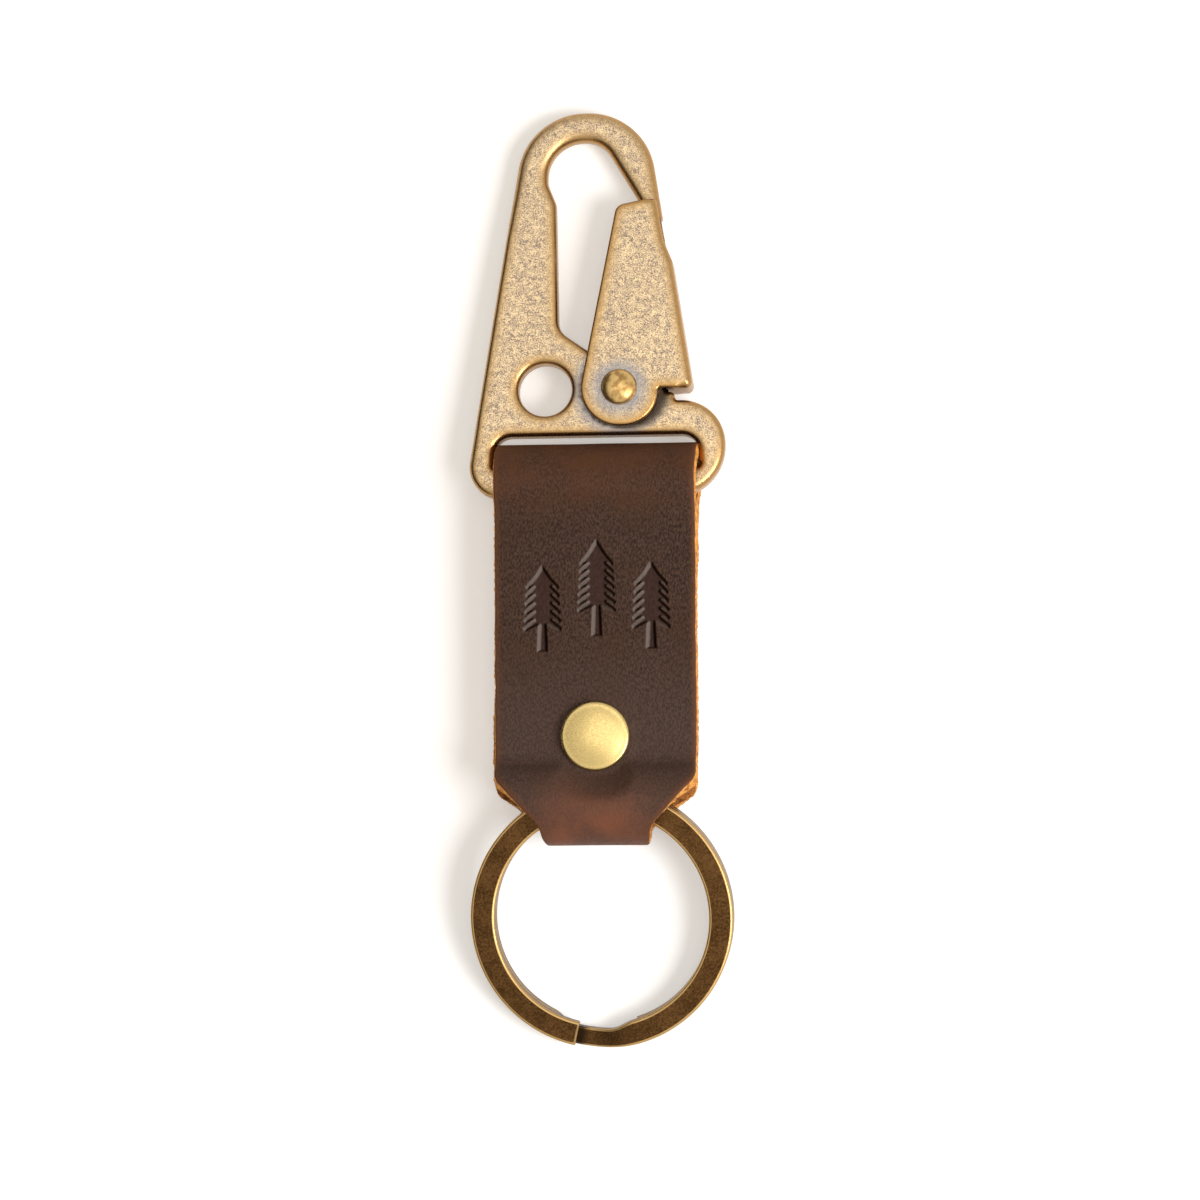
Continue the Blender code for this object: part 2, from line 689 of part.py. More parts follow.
def cap_section(height):
    """Section of a pressed cap from its crown down to the curl that grips the flange."""
    inner = CAP_RADIUS - CAP_SHEET
    flange_radius = inner - CAP_SHEET - RIVET_FIT
    sag = height - 2 * CAP_SHEET - FLANGE - 2 * RIVET_FIT
    rim = height - sag - CAP_EDGE_ROUND
    mouth = flange_radius - CURL_WIDTH
    crown = [(0.0, height), (flange_radius / 2, height - sag / 4), (flange_radius, height - sag)]
    crown += [(CAP_RADIUS - CAP_SHEET / 2, height - sag - CAP_SHEET), (CAP_RADIUS, rim)]
    curl = [(CAP_RADIUS, CAP_SHEET / 2), (CAP_RADIUS - CAP_SHEET / 2, 0.0), (mouth, 0.0), (mouth, CAP_SHEET)]
    lining = [(inner, CAP_SHEET), (inner, rim - CAP_SHEET), (flange_radius, height - sag - CAP_SHEET)]
    lining += [(flange_radius / 2, height - sag / 4 - CAP_SHEET), (0.0, height - CAP_SHEET)]
    return crown + curl + lining


def build_rivet():
    """Front cap and socket over the strap, back cap and post under it."""
    brass = yellow_brass("rivet_brass")
    front_seat = FRONT_TOP + SEAT_GAP
    flange_radius = CAP_RADIUS - 2 * CAP_SHEET - RIVET_FIT
    front = [(radius, front_seat + height) for radius, height in cap_section(FRONT_CAP_HEIGHT)]
    turned("rivet_front_cap", front, brass, None, RIVET_PLACE)
    low = front_seat + CAP_SHEET + RIVET_FIT
    bore = SOCKET_RADIUS - SOCKET_WALL
    socket = [(bore, low + FLANGE), (flange_radius, low + FLANGE), (flange_radius, low)]
    socket += [(SOCKET_RADIUS, low), (SOCKET_RADIUS, low - SOCKET_REACH), (bore, low - SOCKET_REACH)]
    turned("rivet_front_socket", socket, yellow_brass("socket_brass"), None, RIVET_PLACE)
    back_seat = BACK_LOW - SEAT_GAP
    back = [(radius, back_seat - height) for radius, height in cap_section(BACK_CAP_HEIGHT)]
    turned("rivet_back_cap", back, yellow_brass("back_cap_brass"), None, RIVET_PLACE)
    high = back_seat - CAP_SHEET - RIVET_FIT
    post = [(0.0, high - FLANGE), (flange_radius, high - FLANGE), (flange_radius, high), (POST_RADIUS, high)]
    post += [(POST_RADIUS, low - POST_TIP), (POST_RADIUS - POST_TIP, low), (0.0, low)]
    turned("rivet_post", post, yellow_brass("post_brass"), None, RIVET_PLACE)


def ring_section():
    """Section of the ring's wire as (outward, upward) points, with its edges broken."""
    half_band, half_turn = RING_BAND / 2, RING_TURN / 2
    near_band, near_turn = half_band - RING_EDGE, half_turn - RING_EDGE
    return [
        (-near_band, -half_turn),
        (near_band, -half_turn),
        (half_band, -near_turn),
        (half_band, near_turn),
        (near_band, half_turn),
        (-near_band, half_turn),
        (-half_band, near_turn),
        (-half_band, -near_turn),
    ]


def ring_level(angle):
    """Height of the wire's middle: upper turn, a smooth jog over the ring's foot, lower turn."""
    top = (RING_TURN + RING_GAP) / 2
    through = (RING_JOG_FROM - 2 * pi - angle) / (RING_JOG_FROM - RING_JOG_TO)
    through = min(1.0, max(0.0, through))
    return top * cos(pi * through)


def build_ring(ring):
    """Two turns of flat wire, angles measured from the ring's foot toward +X."""
    bm = bmesh.new()
    turn = RING_LOWER_END - 4 * pi - RING_UPPER_END
    steps = ceil(abs(turn) / RING_STEP)
    rings = []
    for k in range(steps + 1):
        angle = RING_UPPER_END + turn * k / steps
        level = ring_level(angle)
        reach = [(RING_MID + out, level + up) for out, up in ring_section()]
        rings.append([bm.verts.new((r * sin(angle), -r * cos(angle) - RING_DROP, z)) for r, z in reach])
    for one, two in zip(rings, rings[1:]):
        for k in range(len(one)):
            bm.faces.new((one[k - 1], one[k], two[k], two[k - 1]))
    bm.faces.new(rings[0])
    bm.faces.new(rings[-1])
    add("key_ring", bm, antique_brass("ring_brass"), ring)


def main():
    clear_scene()
    build_strap()
    build_rivet()
    hook = joint_empty("hook_axis", (-STRAP_SHIFT, HOOK_AXIS_Y, HOOK_AXIS_Z), -HOOK_LEAN)
    build_hook(hook)
    build_pin(hook)
    build_spring(hook)
    build_gate(joint_empty("gate_axis", (*PIVOT, 0.0), 0.0, hook))
    ring = joint_empty("ring_axis", (0.0, RING_AXIS_Y, RING_AXIS_Z), RING_LEAN)
    build_ring(ring)


main()
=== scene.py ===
"""Looks of the leather keychain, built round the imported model.

Eight pieces are made here again with fine meshes, from the solids' sizes: cast brass with rounded
edges, turned rivet caps and pin, a spring, a two-turn ring and one long strip of leather with
pressed trees. The rivet's socket and post, which don't show, stay as the solids have them.
"""

import json
from math import acos, asin, atan2, ceil, cos, hypot, pi, radians, sin, sqrt, tan

import bpy
import numpy as np
from mathutils import Matrix, Vector, noise
from mathutils.geometry import delaunay_2d_cdt


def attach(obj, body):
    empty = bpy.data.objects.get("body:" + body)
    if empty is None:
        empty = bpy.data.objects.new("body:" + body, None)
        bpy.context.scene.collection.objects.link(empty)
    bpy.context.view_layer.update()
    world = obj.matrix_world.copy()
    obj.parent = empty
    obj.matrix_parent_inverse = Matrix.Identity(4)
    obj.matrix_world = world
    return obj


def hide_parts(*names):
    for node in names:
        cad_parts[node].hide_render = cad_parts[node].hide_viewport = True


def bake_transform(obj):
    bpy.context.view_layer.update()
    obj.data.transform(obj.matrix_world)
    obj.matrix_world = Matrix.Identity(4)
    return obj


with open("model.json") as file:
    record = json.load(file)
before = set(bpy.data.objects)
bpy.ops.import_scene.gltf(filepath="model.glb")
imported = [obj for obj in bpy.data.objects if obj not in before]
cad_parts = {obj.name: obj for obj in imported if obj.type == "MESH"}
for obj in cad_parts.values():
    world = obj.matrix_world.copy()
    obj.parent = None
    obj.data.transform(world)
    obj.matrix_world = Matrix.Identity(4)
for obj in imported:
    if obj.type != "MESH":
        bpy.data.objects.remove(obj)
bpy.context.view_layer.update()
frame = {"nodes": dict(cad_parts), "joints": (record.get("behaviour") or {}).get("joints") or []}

# Sizes in metres: those of the solids, apart from a softer neck of the strap, with its
# reach, flare and blend, and a rounder right foot of the hook
SEAT_GAP = 0.00025
RUNNING_GAP = 0.00015
STOP_GAP = 0.0003
WELD = 0.000002

STRAP_WIDTH = 0.0246
LEATHER = 0.0022
STRAP_SPAN = 0.0393
STRAP_SHIFT = 0.0003
FOLD_RADIUS = 0.0027
FOLD_EASE = 0.0070
LOOP_RADIUS = 0.0031
LOOP_FRONT_EASE = 0.0022
LOOP_BACK_EASE = 0.0006
NECK_WIDTH = 0.0124
NECK_REACH = 0.0040
NECK_FLARE = 0.0006
NECK_BLEND = 0.0030
SHOULDER_REACH = 0.0090
SHOULDER_ROUND = 0.0020
END_ROUND = 0.0025
INNER_END_LAP = 0.0006

RIVET_RISE = 0.0079
CAP_RADIUS = 0.00425
FRONT_CAP_HEIGHT = 0.0014
BACK_CAP_HEIGHT = 0.0011
CAP_SHEET = 0.00025
SOCKET_RADIUS = 0.0015

HOOK_PLATE = 0.0030
BAR_DEPTH = 0.0037
SLOT_SIDE_GAP = 0.0004
SLOT_TOP_GAP = 0.00095
SLOT_TOP_ROUND = 0.0022
SLOT_FOOT_ROUND = 0.0003
FRAME_SIDE = 0.0032
ARCH_TOP = 0.046875
LANYARD_RADIUS = 0.0033
LANYARD_SHARES = (-0.401, 0.249)
PIVOT_SHARES = (0.186, 0.2465)
FOOT_LEFT_SHARES = (-1.034, 0.085)
FOOT_RIGHT_SHARES = (1.0, 0.135)
HIP_ROUND_SHARE = 0.115
EYE_SHARES = (
    (0.0, 0.032),
    (-0.2987, 0.4075, 0.055),
    (-0.3176, 0.7520, 0.043),
    (-0.3836, 0.8080, 0.043),
    (-0.3836, 0.9210, 0.094),
    (0.0377, 0.9210, 0.077),
)
NOSE_SHARES = ((0.4245, 0.704, 0.006), (0.5189, 0.704, 0.006))
ARCH_SHARES = ((0.3810, 1.0, 0.179), (-0.5480, 1.0, 0.179))

GATE_PLATE = 0.0009
GATE_LAP = 0.0025
LOBE_RADIUS = 0.00475
HEEL_HEIGHT = 0.0019
TAIL_DROP = 0.0001
TAIL_REACH = 0.0091
TAIL_ROUND = 0.0008
NOTCH_ROUND = 0.0004
STEP_ROUND = 0.0006
SPINE_TOP_SHARES = (0.597, 0.668)
SPINE_STEP_SHARES = (0.535, 0.768)
PLATE_TOP_SHARES = ((0.4717, 1.0), (0.1630, 0.96))
PLATE_ROUNDS = (0.0005, 0.0013)
TONGUE_REACH = 0.0056
SHOULDER_END = 0.00675
HIP_DROP = 0.00145
TONGUE_RISE = 0.0042
PIN_RADIUS = 0.0013
PIN_HEAD_RADIUS = 0.0022
PIN_HEAD_HEIGHT = 0.0010

WIRE = 0.0005
SPRING_GAP = 0.00042
SPRING_RADIUS = 0.0019
SPRING_START = radians(180)
SPRING_TURN = radians(510)
FIXED_LEG = 0.0020

RING_RADIUS = 0.0161
RING_BAND = 0.00275
RING_TURN = 0.00150
RING_GAP = 0.0001
RING_LIFT = 0.0006
RING_UPPER_END = radians(-13)
RING_LOWER_END = radians(17.4)
RING_JOG_FROM = radians(17)
RING_JOG_TO = radians(-11)

# Fineness of the meshes, and the angles beyond which their edges stay sharp
ARC_STEP = radians(5)
TURNED_SIDES = 96
HEAD_STEPS = 14
CROWN_STEPS = 10
PLATE_SHARP = radians(50)
TURNED_SHARP = radians(40)
WIRE_SHARP = radians(60)

# How far a cutting shape runs past what it cuts, and how many points are measured at once
OVERRUN = 0.002
CHUNK = 2000

# Sizes worked out from the ones above
STRAP_HALF = STRAP_WIDTH / 2
NECK_HALF = NECK_WIDTH / 2
PAIR_HALF_GAP = SEAT_GAP / 2
TRIPLE_HALF_GAP = LEATHER / 2 + SEAT_GAP
BACK_LOW = max(BACK_CAP_HEIGHT + SEAT_GAP, FOLD_RADIUS - TRIPLE_HALF_GAP)
RING_AXIS_Z = BACK_LOW + 2 * LEATHER + SEAT_GAP + PAIR_HALF_GAP
FRONT_TOP = RING_AXIS_Z + PAIR_HALF_GAP + LEATHER
SLOT_HALF = STRAP_HALF + SLOT_SIDE_GAP
SLOT_TOP = FOLD_RADIUS + LEATHER + SLOT_TOP_GAP
FRAME_HALF = SLOT_HALF + FRAME_SIDE
PLATE_HALF = HOOK_PLATE / 2
BAR_HALF = BAR_DEPTH / 2
CHANNEL_HALF = PLATE_HALF + SEAT_GAP
GATE_HALF = CHANNEL_HALF + GATE_PLATE
PIVOT = Vector((PIVOT_SHARES[0] * FRAME_HALF, PIVOT_SHARES[1] * ARCH_TOP))
SHOULDER_DROP = TAIL_DROP + STOP_GAP
HEEL_REACH = TONGUE_REACH + STOP_GAP
PIN_HOLE_RADIUS = PIN_RADIUS + RUNNING_GAP
SPRING_LOW = -PLATE_HALF + WIRE
SPRING_HIGH = SPRING_LOW + (WIRE + SPRING_GAP) * SPRING_TURN / (2 * pi)
GATE_TOP = NOSE_SHARES[0][1] * ARCH_TOP + GATE_LAP
RING_HALF = RING_TURN + RING_GAP / 2
RING_MID = RING_RADIUS - RING_BAND / 2
RING_DROP = RING_MID - RING_LIFT

# Places taken from the frame's joints
JOINTS = {joint["name"]: joint for joint in frame["joints"]}
HOOK_AXIS = Vector(JOINTS["hook_swing"]["pos_m"])
RING_AXIS = Vector(JOINTS["ring_swing"]["pos_m"])
HOOK_AXIS_Y = HOOK_AXIS.y
RING_AXIS_Y = RING_AXIS.y
RIVET_Y = RING_AXIS_Y + RIVET_RISE


def lean(height, reach, low):
    """Angle by which a piece hinged at a height leans until its far low edge is on the table."""
    return asin(height / hypot(reach, low)) - atan2(low, reach)


HOOK_LEAN = lean(HOOK_AXIS.z, GATE_TOP, GATE_HALF)
RING_LEAN = lean(RING_AXIS.z, RING_DROP + RING_RADIUS, RING_HALF)
HOOK_PLACE = Matrix.Translation(HOOK_AXIS) @ Matrix.Rotation(-HOOK_LEAN, 4, "X")
GATE_PLACE = HOOK_PLACE @ Matrix.Translation((*PIVOT, 0.0))
RING_PLACE = Matrix.Translation(RING_AXIS) @ Matrix.Rotation(RING_LEAN, 4, "X")


def fillet_fits(points, tangents):
    """Share of each fillet that fits when two fillets meet on one edge."""
    count = len(points)
    fits = [1.0] * count
    for i in range(count):
        after = (i + 1) % count
        wanted = tangents[i] + tangents[after]
        room = (points[after] - points[i]).length
        if wanted > room:
            fits[i] = min(fits[i], room / wanted)
            fits[after] = min(fits[after], room / wanted)
    return fits


def rounded(corners):
    """Closed outline through corners given as (across, along, fillet radius)."""
    points = [Vector(corner[:2]) for corner in corners]
    ways = [(points[(i + 1) % len(points)] - point).normalized() for i, point in enumerate(points)]
    turns = [atan2(ways[i - 1].cross(way), ways[i - 1].dot(way)) for i, way in enumerate(ways)]
    tangents = [corner[2] * tan(abs(turn) / 2) for corner, turn in zip(corners, turns)]
    fits = fillet_fits(points, tangents)
    outline = []
    for i, point in enumerate(points):
        start = point - ways[i - 1] * tangents[i] * fits[i]
        radius = corners[i][2] * fits[i]
        side = 1 if turns[i] > 0 else -1
        heading = atan2(ways[i - 1].y, ways[i - 1].x)
        steps = ceil(abs(turns[i]) / ARC_STEP)
        for k in range(steps + 1):
            bend = turns[i] * k / steps if steps else 0.0
            across = radius * (sin(heading + bend) - sin(heading)) * side
            along = -radius * (cos(heading + bend) - cos(heading)) * side
            found = start + Vector((across, along))
            if not outline or (found - outline[-1]).length > WELD:
                outline.append(found)
    if (outline[0] - outline[-1]).length <= WELD:
        outline.pop()
    return outline


def circle(centre, radius, sides=TURNED_SIDES):
    """Counterclockwise circle as an outline."""
    angles = [2 * pi * k / sides for k in range(sides)]
    return [Vector((centre[0] + radius * cos(a), centre[1] + radius * sin(a))) for a in angles]


def spread(outline, step):
    """Closed outline as an array, with extra points so that no edge is longer than a step."""
    found = []
    for i, point in enumerate(outline):
        before = outline[i - 1]
        parts = max(1, ceil((point - before).length / step))
        found += [before.lerp(point, k / parts) for k in range(parts)]
    return np.array([tuple(point) for point in found])


def left_of(rim):
    """Unit vector to the left of a closed outline at each of its points."""
    way = np.roll(rim, -1, axis=0) - np.roll(rim, 1, axis=0)
    way /= np.linalg.norm(way, axis=1)[:, None]
    return np.stack((-way[:, 1], way[:, 0]), axis=1)


def distance_to(points, rims):
    """Distance from each point to the nearest edge of the outlines."""
    start = np.concatenate(rims)
    way = np.concatenate([np.roll(rim, -1, axis=0) for rim in rims]) - start
    square = (way**2).sum(axis=1)
    nearest = []
    for chunk in np.array_split(points, max(1, len(points) // CHUNK)):
        away = chunk[:, None, :] - start[None]
        share = np.clip((away * way).sum(axis=2) / square, 0.0, 1.0)
        gap = away - share[..., None] * way
        nearest.append(np.sqrt((gap**2).sum(axis=2).min(axis=1)))
    return np.concatenate(nearest)


def inside(points, rims):
    """Whether each point lies inside an odd number of the outlines."""
    found = np.zeros(len(points), dtype=bool)
    for rim in rims:
        after = np.roll(rim, -1, axis=0)
        for (x1, y1), (x2, y2) in zip(rim, after):
            if y1 != y2:
                spans = (y1 > points[:, 1]) != (y2 > points[:, 1])
                found ^= spans & (points[:, 0] < x1 + (points[:, 1] - y1) * (x2 - x1) / (y2 - y1))
    return found


def lattice(rims, step):
    """Points of a staggered grid over the outlines' box."""
    low, high = rims[0].min(axis=0), rims[0].max(axis=0)
    rows = np.arange(low[1], high[1], step * sin(radians(60)))
    columns = np.arange(low[0], high[0], step)
    across, along = np.meshgrid(columns, rows)
    across = across + (np.arange(len(rows)) % 2)[:, None] * step / 2
    return np.stack((across.ravel(), along.ravel()), axis=1)


# Where the rings of points along a rounded edge lie, as shares of its radius, how much of that
# distance they keep from other edges, and how much of a step the grid keeps from the last ring
EDGE_SHARES = (0.035, 0.14, 0.34, 0.62, 1.0)
RING_CLEAR = 0.93
GRID_CLEAR = 0.45


def face_points(rims, edge_size, step, extra):
    """Rims, rings of points that follow them where the edge is rounded, and a grid between."""
    points = [np.concatenate(rims)]
    for share in EDGE_SHARES:
        for rim in rims:
            away = edge_size(rim) * share
            ring = rim + left_of(rim) * away[:, None]
            keep = distance_to(ring, rims) > away * RING_CLEAR
            points.append(ring[keep & inside(ring, rims)])
    grid = lattice(rims, step)
    grid = grid[inside(grid, rims)]
    points.append(grid[distance_to(grid, rims) > edge_size(grid) + step * GRID_CLEAR])
    if extra is not None:
        points.append(extra)
    return np.concatenate(points)


def triangulate(rims, points):
    """Triangles over the region between the outlines, with the outlines as edges."""
    edges, first = [], 0
    for rim in rims:
        edges += [(first + i, first + (i + 1) % len(rim)) for i in range(len(rim))]
        first += len(rim)
    found = delaunay_2d_cdt([Vector(point) for point in points], edges, [], 0, 1e-9)
    places = np.array([tuple(point) for point in found[0]])
    triangles = np.array(found[2])
    kept = triangles[inside(places[triangles].mean(axis=1), rims)]
    used, renumbered = np.unique(kept, return_inverse=True)
    return places[used], renumbered.reshape(kept.shape)


def rim_edges(triangles):
    """Edges with a triangle on one side only, each in its triangle's direction."""
    ways = np.concatenate([triangles[:, [0, 1]], triangles[:, [1, 2]], triangles[:, [2, 0]]])
    seen = {tuple(way) for way in ways.tolist()}
    return [way for way in seen if (way[1], way[0]) not in seen]


def attribute(mesh, name, values):
    """Store one number at each vertex for the materials to read."""
    stored = mesh.attributes.new(name, "FLOAT", "POINT").data
    stored.foreach_set("value", np.asarray(values, dtype=np.float32))


def store(mesh, name, values, faces=1):
    """Store values of a relief's flat points on its upper face or on both, and 0 on its walls."""
    stored = np.zeros(len(mesh.vertices))
    stored[: faces * len(values)] = np.tile(values, faces)
    attribute(mesh, name, stored)


def new_mesh(name, places, faces, sharp=None):
    """Mesh from places and faces, shaded smooth apart from edges beyond a sharp angle."""
    mesh = bpy.data.meshes.new(name)
    mesh.from_pydata(places, [], faces)
    if sharp:
        mesh.shade_smooth()
        mesh.set_sharp_from_angle(angle=sharp)
    return mesh


def add(name, data):
    """Object in the scene's collection."""
    item = bpy.data.objects.new(name, data)
    bpy.context.collection.objects.link(item)
    return item


def link(name, mesh, looks, body, nodes):
    """Put a mesh in the scene as a piece that rides on a body and stands for nodes."""
    item = add(name, mesh)
    for entry in looks if isinstance(looks, list) else [looks]:
        mesh.materials.append(entry)
    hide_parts(*nodes)
    if body:
        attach(item, body)
    return item


def relief(name, outlines, edge_size, step, faces, place, rows=1, bulge=None, extra=None):
    """Closed mesh over a flat region: two relief faces joined by a wall round each outline.

    The first outline runs counterclockwise and holes clockwise. faces(points, depth) gives the
    upper and the lower heights, where depth is the distance from the rim. bulge(points, share)
    moves the wall outward. place turns points and heights into positions.
    """
    rims = [spread(outline, step) for outline in outlines]
    points, triangles = triangulate(rims, face_points(rims, edge_size, step, extra))
    depth = distance_to(points, rims)
    corners = rim_edges(triangles)
    rim = sorted({index for pair in corners for index in pair})
    depth[rim] = 0.0
    upper, lower = faces(points, depth)
    count = len(points)
    places = [place(points, upper), place(points, lower)]
    depths = [depth, depth]
    out = np.zeros((count, 2))
    for one, two in corners:
        way = points[two] - points[one]
        out[[one, two]] += (way[1], -way[0]) / np.linalg.norm(way)
    outward = out[rim] / np.linalg.norm(out[rim], axis=1)[:, None]
    for row in range(1, rows):
        share = row / rows
        push = bulge(points[rim], share) if bulge else np.zeros(len(rim))
        level = upper[rim] + (lower[rim] - upper[rim]) * share
        places.append(place(points[rim] + outward * push[:, None], level))
        depths.append(np.full(len(rim), -share))
    order = {index: k for k, index in enumerate(rim)}

    def wall_row(row, pair):
        """Vertices of a rim edge in a row of the wall, from 0 at the top to the last at the foot."""
        if row in (0, rows):
            return [index + count * (row == rows) for index in pair]
        return [2 * count + (row - 1) * len(rim) + order[index] for index in pair]

    polygons = triangles.tolist() + (triangles[:, ::-1] + count).tolist()
    walls_from = len(polygons)
    for pair in corners:
        for row in range(rows):
            above, below = wall_row(row, pair), wall_row(row + 1, pair)
            polygons.append(above[::-1] + below)
    mesh = new_mesh(name, np.concatenate(places).tolist(), polygons)
    attribute(mesh, "depth", np.concatenate(depths))
    mesh.shade_smooth()
    return mesh, points, walls_from


def rounded_face(half, size):
    """Heights of a plate's two faces whose edges are rounded by a size that may vary."""

    def faces(points, depth):
        radius = size(points)
        fall = np.clip(1 - depth / radius, 0.0, 1.0)
        level = half - radius + radius * np.sqrt(1 - fall**2)
        return level, -level

    return faces


def placed(matrix):
    """Positions of plate points and heights under a matrix."""

    def place(points, heights):
        flat = np.column_stack((points, heights, np.ones(len(points))))
        return (flat @ np.array(matrix).T)[:, :3]

    return place


def corner(shares):
    """Corner in metres from shares of the frame's half width and of the arch's height."""
    return (shares[0] * FRAME_HALF, shares[1] * ARCH_TOP, shares[2] * ARCH_TOP)


def hook_outline():
    """Outline of the hook about its bar, from the bar's right end and counterclockwise."""
    side, top = PIVOT.x + TONGUE_REACH, PIVOT.y + TONGUE_RISE
    end, hip, shoulder = PIVOT.x + SHOULDER_END, PIVOT.y - HIP_DROP, PIVOT.y - SHOULDER_DROP
    feet = [
        (across * FRAME_HALF, -BAR_HALF, radius * ARCH_TOP)
        for across, radius in (FOOT_RIGHT_SHARES, FOOT_LEFT_SHARES)
    ]
    corners = [feet[0], (FRAME_HALF, hip, HIP_ROUND_SHARE * ARCH_TOP), (end, hip, NOTCH_ROUND)]
    corners += [(end, shoulder, STEP_ROUND), (side, shoulder, NOTCH_ROUND), (side, top, TONGUE_RISE)]
    corners.append((EYE_SHARES[0][0] * FRAME_HALF, top, EYE_SHARES[0][1] * ARCH_TOP))
    corners += [corner(shares) for shares in (*EYE_SHARES[1:], *NOSE_SHARES, *ARCH_SHARES)]
    return rounded(corners + feet[1:])


def slot_outline():
    """Strap slot, clockwise: nearly square at the bar, rounded above it."""
    left = [(-SLOT_HALF, BAR_HALF, SLOT_FOOT_ROUND), (-SLOT_HALF, SLOT_TOP, SLOT_TOP_ROUND)]
    right = [(SLOT_HALF, SLOT_TOP, SLOT_TOP_ROUND), (SLOT_HALF, BAR_HALF, SLOT_FOOT_ROUND)]
    return rounded(left + right)


def smooth(values, low, high):
    """Smooth step from 0 at the low value to 1 at the high one."""
    share = np.clip((values - low) / (high - low), 0.0, 1.0)
    return share * share * (3 - 2 * share)


# Casting: the radii of its edges and where they change, its wave, its haze, and the painted shade
# with some grime round the gate's lobe
ARM_EDGE = 0.00075
ARCH_EDGE = 0.00120
FOOT_EDGE = 0.00085
ARCH_FROM_TO = (0.62, 0.84)
FOOT_FROM_TO = (-0.20, -0.08)
CAST_STEP = 0.00045
CAST_WAVE = 0.00002
CAST_WAVE_SIZE = 0.0035
HAZE = 0.0021
# reach of the painted shade, with some grime, round the gate's lobe
SHADE_GRIME = 0.00035
SHADE_GRIME_MORE = 0.0020
SHADE_GRIME_FULL = 0.3
SHADE_GRIME_TURN = radians(12)


def hook_edge(points):
    """Radius of the casting's edge: round at the arch and the foot, tighter between."""
    along = points[:, 1] / ARCH_TOP
    size = ARM_EDGE + (ARCH_EDGE - ARM_EDGE) * smooth(along, *ARCH_FROM_TO)
    return size + (FOOT_EDGE - ARM_EDGE) * smooth(-along, *FOOT_FROM_TO)


def waves(points, size, height):
    """Gentle unevenness of a surface, from noise of a given size."""
    return np.array([noise.noise(Vector((x / size, y / size, 0.3))) * height for x, y in points])


def sleeve(rows, count):
    """Faces round a row of sections that have the same number of points."""
    faces = []
    for one in range(0, (rows - 1) * count, count):
        for k in range(count):
            after = one + (k + 1) % count
            faces.append([one + k, after, after + count, one + k + count])
    return faces


def carve(item, name, outline, low, high, matrix):
    """Cut a straight-sided shape, given as a counterclockwise outline, out of a piece."""
    count = len(outline)
    places = [tuple(matrix @ Vector((*point, level))) for level in (low, high) for point in outline]
    ends = [list(range(count))[::-1], list(range(count, 2 * count))]
    cutter = add(name, new_mesh(name, places, ends + sleeve(2, count)))
    step = item.modifiers.new(name, "BOOLEAN")
    step.operation = "DIFFERENCE"
    step.object = cutter
    cut = item.evaluated_get(bpy.context.evaluated_depsgraph_get())
    settled = bpy.data.meshes.new_from_object(cut)
    item.modifiers.clear()
    item.data = settled
    bpy.data.objects.remove(cutter)


def pocket_outline():
    """Round pocket about the pin with a notch up its left side for the spring's fixed leg."""
    radius = SPRING_RADIUS + WIRE
    right, top = WIRE - SPRING_RADIUS, FIXED_LEG + WIRE
    end = 2 * pi + acos(right / radius)
    steps = ceil((end - SPRING_START) / ARC_STEP)
    outline = arc((0.0, 0.0), radius, SPRING_START, end, steps) + [(right, top), (-radius, top)]
    return [PIVOT + Vector(point) for point in outline]


def tarnish_and_shade(mesh, points, about_pivot, under_gate):
    """Store the grey haze round the pin's head and, under the gate, a painted shade with some grime
    along its lobe.
    """
    away = np.hypot(about_pivot[:, 0], about_pivot[:, 1])
    right = np.cos(np.arctan2(about_pivot[:, 1], about_pivot[:, 0]) + SHADE_GRIME_TURN)
    reach = SHADE_GRIME + SHADE_GRIME_MORE * np.clip(right, 0.0, None) ** 2
    # painted shade, with some grime, in a band round the gate's lobe, widest on its right
    grime = smooth(-away, -LOBE_RADIUS - reach, -LOBE_RADIUS - SHADE_GRIME_FULL * reach)
    grime *= smooth(away, LOBE_RADIUS - SHADE_GRIME, LOBE_RADIUS)
    middle = LOBE_RADIUS if under_gate else PIN_HEAD_RADIUS
    store(mesh, "grime", grime * under_gate, 2)
    store(mesh, "haze", smooth(-away, -middle - HAZE, -middle), 2)


def build_hook(look):
    """Casting with its eye, slot and lanyard hole, and the pocket and way for the spring."""
    lanyard = circle((LANYARD_SHARES[0] * FRAME_HALF, LANYARD_SHARES[1] * ARCH_TOP), LANYARD_RADIUS)
    bore = circle(PIVOT, PIN_HOLE_RADIUS, TURNED_SIDES // 2)
    outlines = [hook_outline(), slot_outline(), lanyard[::-1], bore[::-1]]
    flat = rounded_face(PLATE_HALF, hook_edge)

    def faces(points, depth):
        upper, lower = flat(points, depth)
        wave = waves(points, CAST_WAVE_SIZE, CAST_WAVE)
        return upper + wave, lower - wave

    place = placed(HOOK_PLACE)
    mesh, points, _ = relief("hook_casting", outlines, hook_edge, CAST_STEP, faces, place, rows=2)
    tarnish_and_shade(mesh, points, points - np.array(PIVOT), True)
    item = link("hook_casting", mesh, look, "hook", ["hook_body"])
    back = -PLATE_HALF - OVERRUN
    floor = SPRING_HIGH + WIRE / 2 + RUNNING_GAP
    carve(item, "spring_pocket", pocket_outline(), back, floor, HOOK_PLACE)
    left, right = PIVOT.x, PIVOT.x + TONGUE_REACH - 2 * WIRE
    low, high = PIVOT.y - WIRE, PIVOT.y + TONGUE_RISE + OVERRUN
    way = [Vector(point) for point in ((left, low), (right, low), (right, high), (left, high))]
    carve(item, "moving_leg_way", way, back, SPRING_LOW + WIRE, HOOK_PLACE)
    item.data.shade_smooth()
    item.data.set_sharp_from_angle(angle=PLATE_SHARP)


def gate_height(share):
    """Height on the gate, as a share of the way from the tail's foot to the gate's top."""
    return -TAIL_DROP + share * (GATE_TOP - PIVOT.y + TAIL_DROP)


def gate_point(shares):
    """Point about the pivot from shares of the frame's half width and of the gate's height."""
    return (shares[0] * FRAME_HALF - PIVOT.x, gate_height(shares[1]))


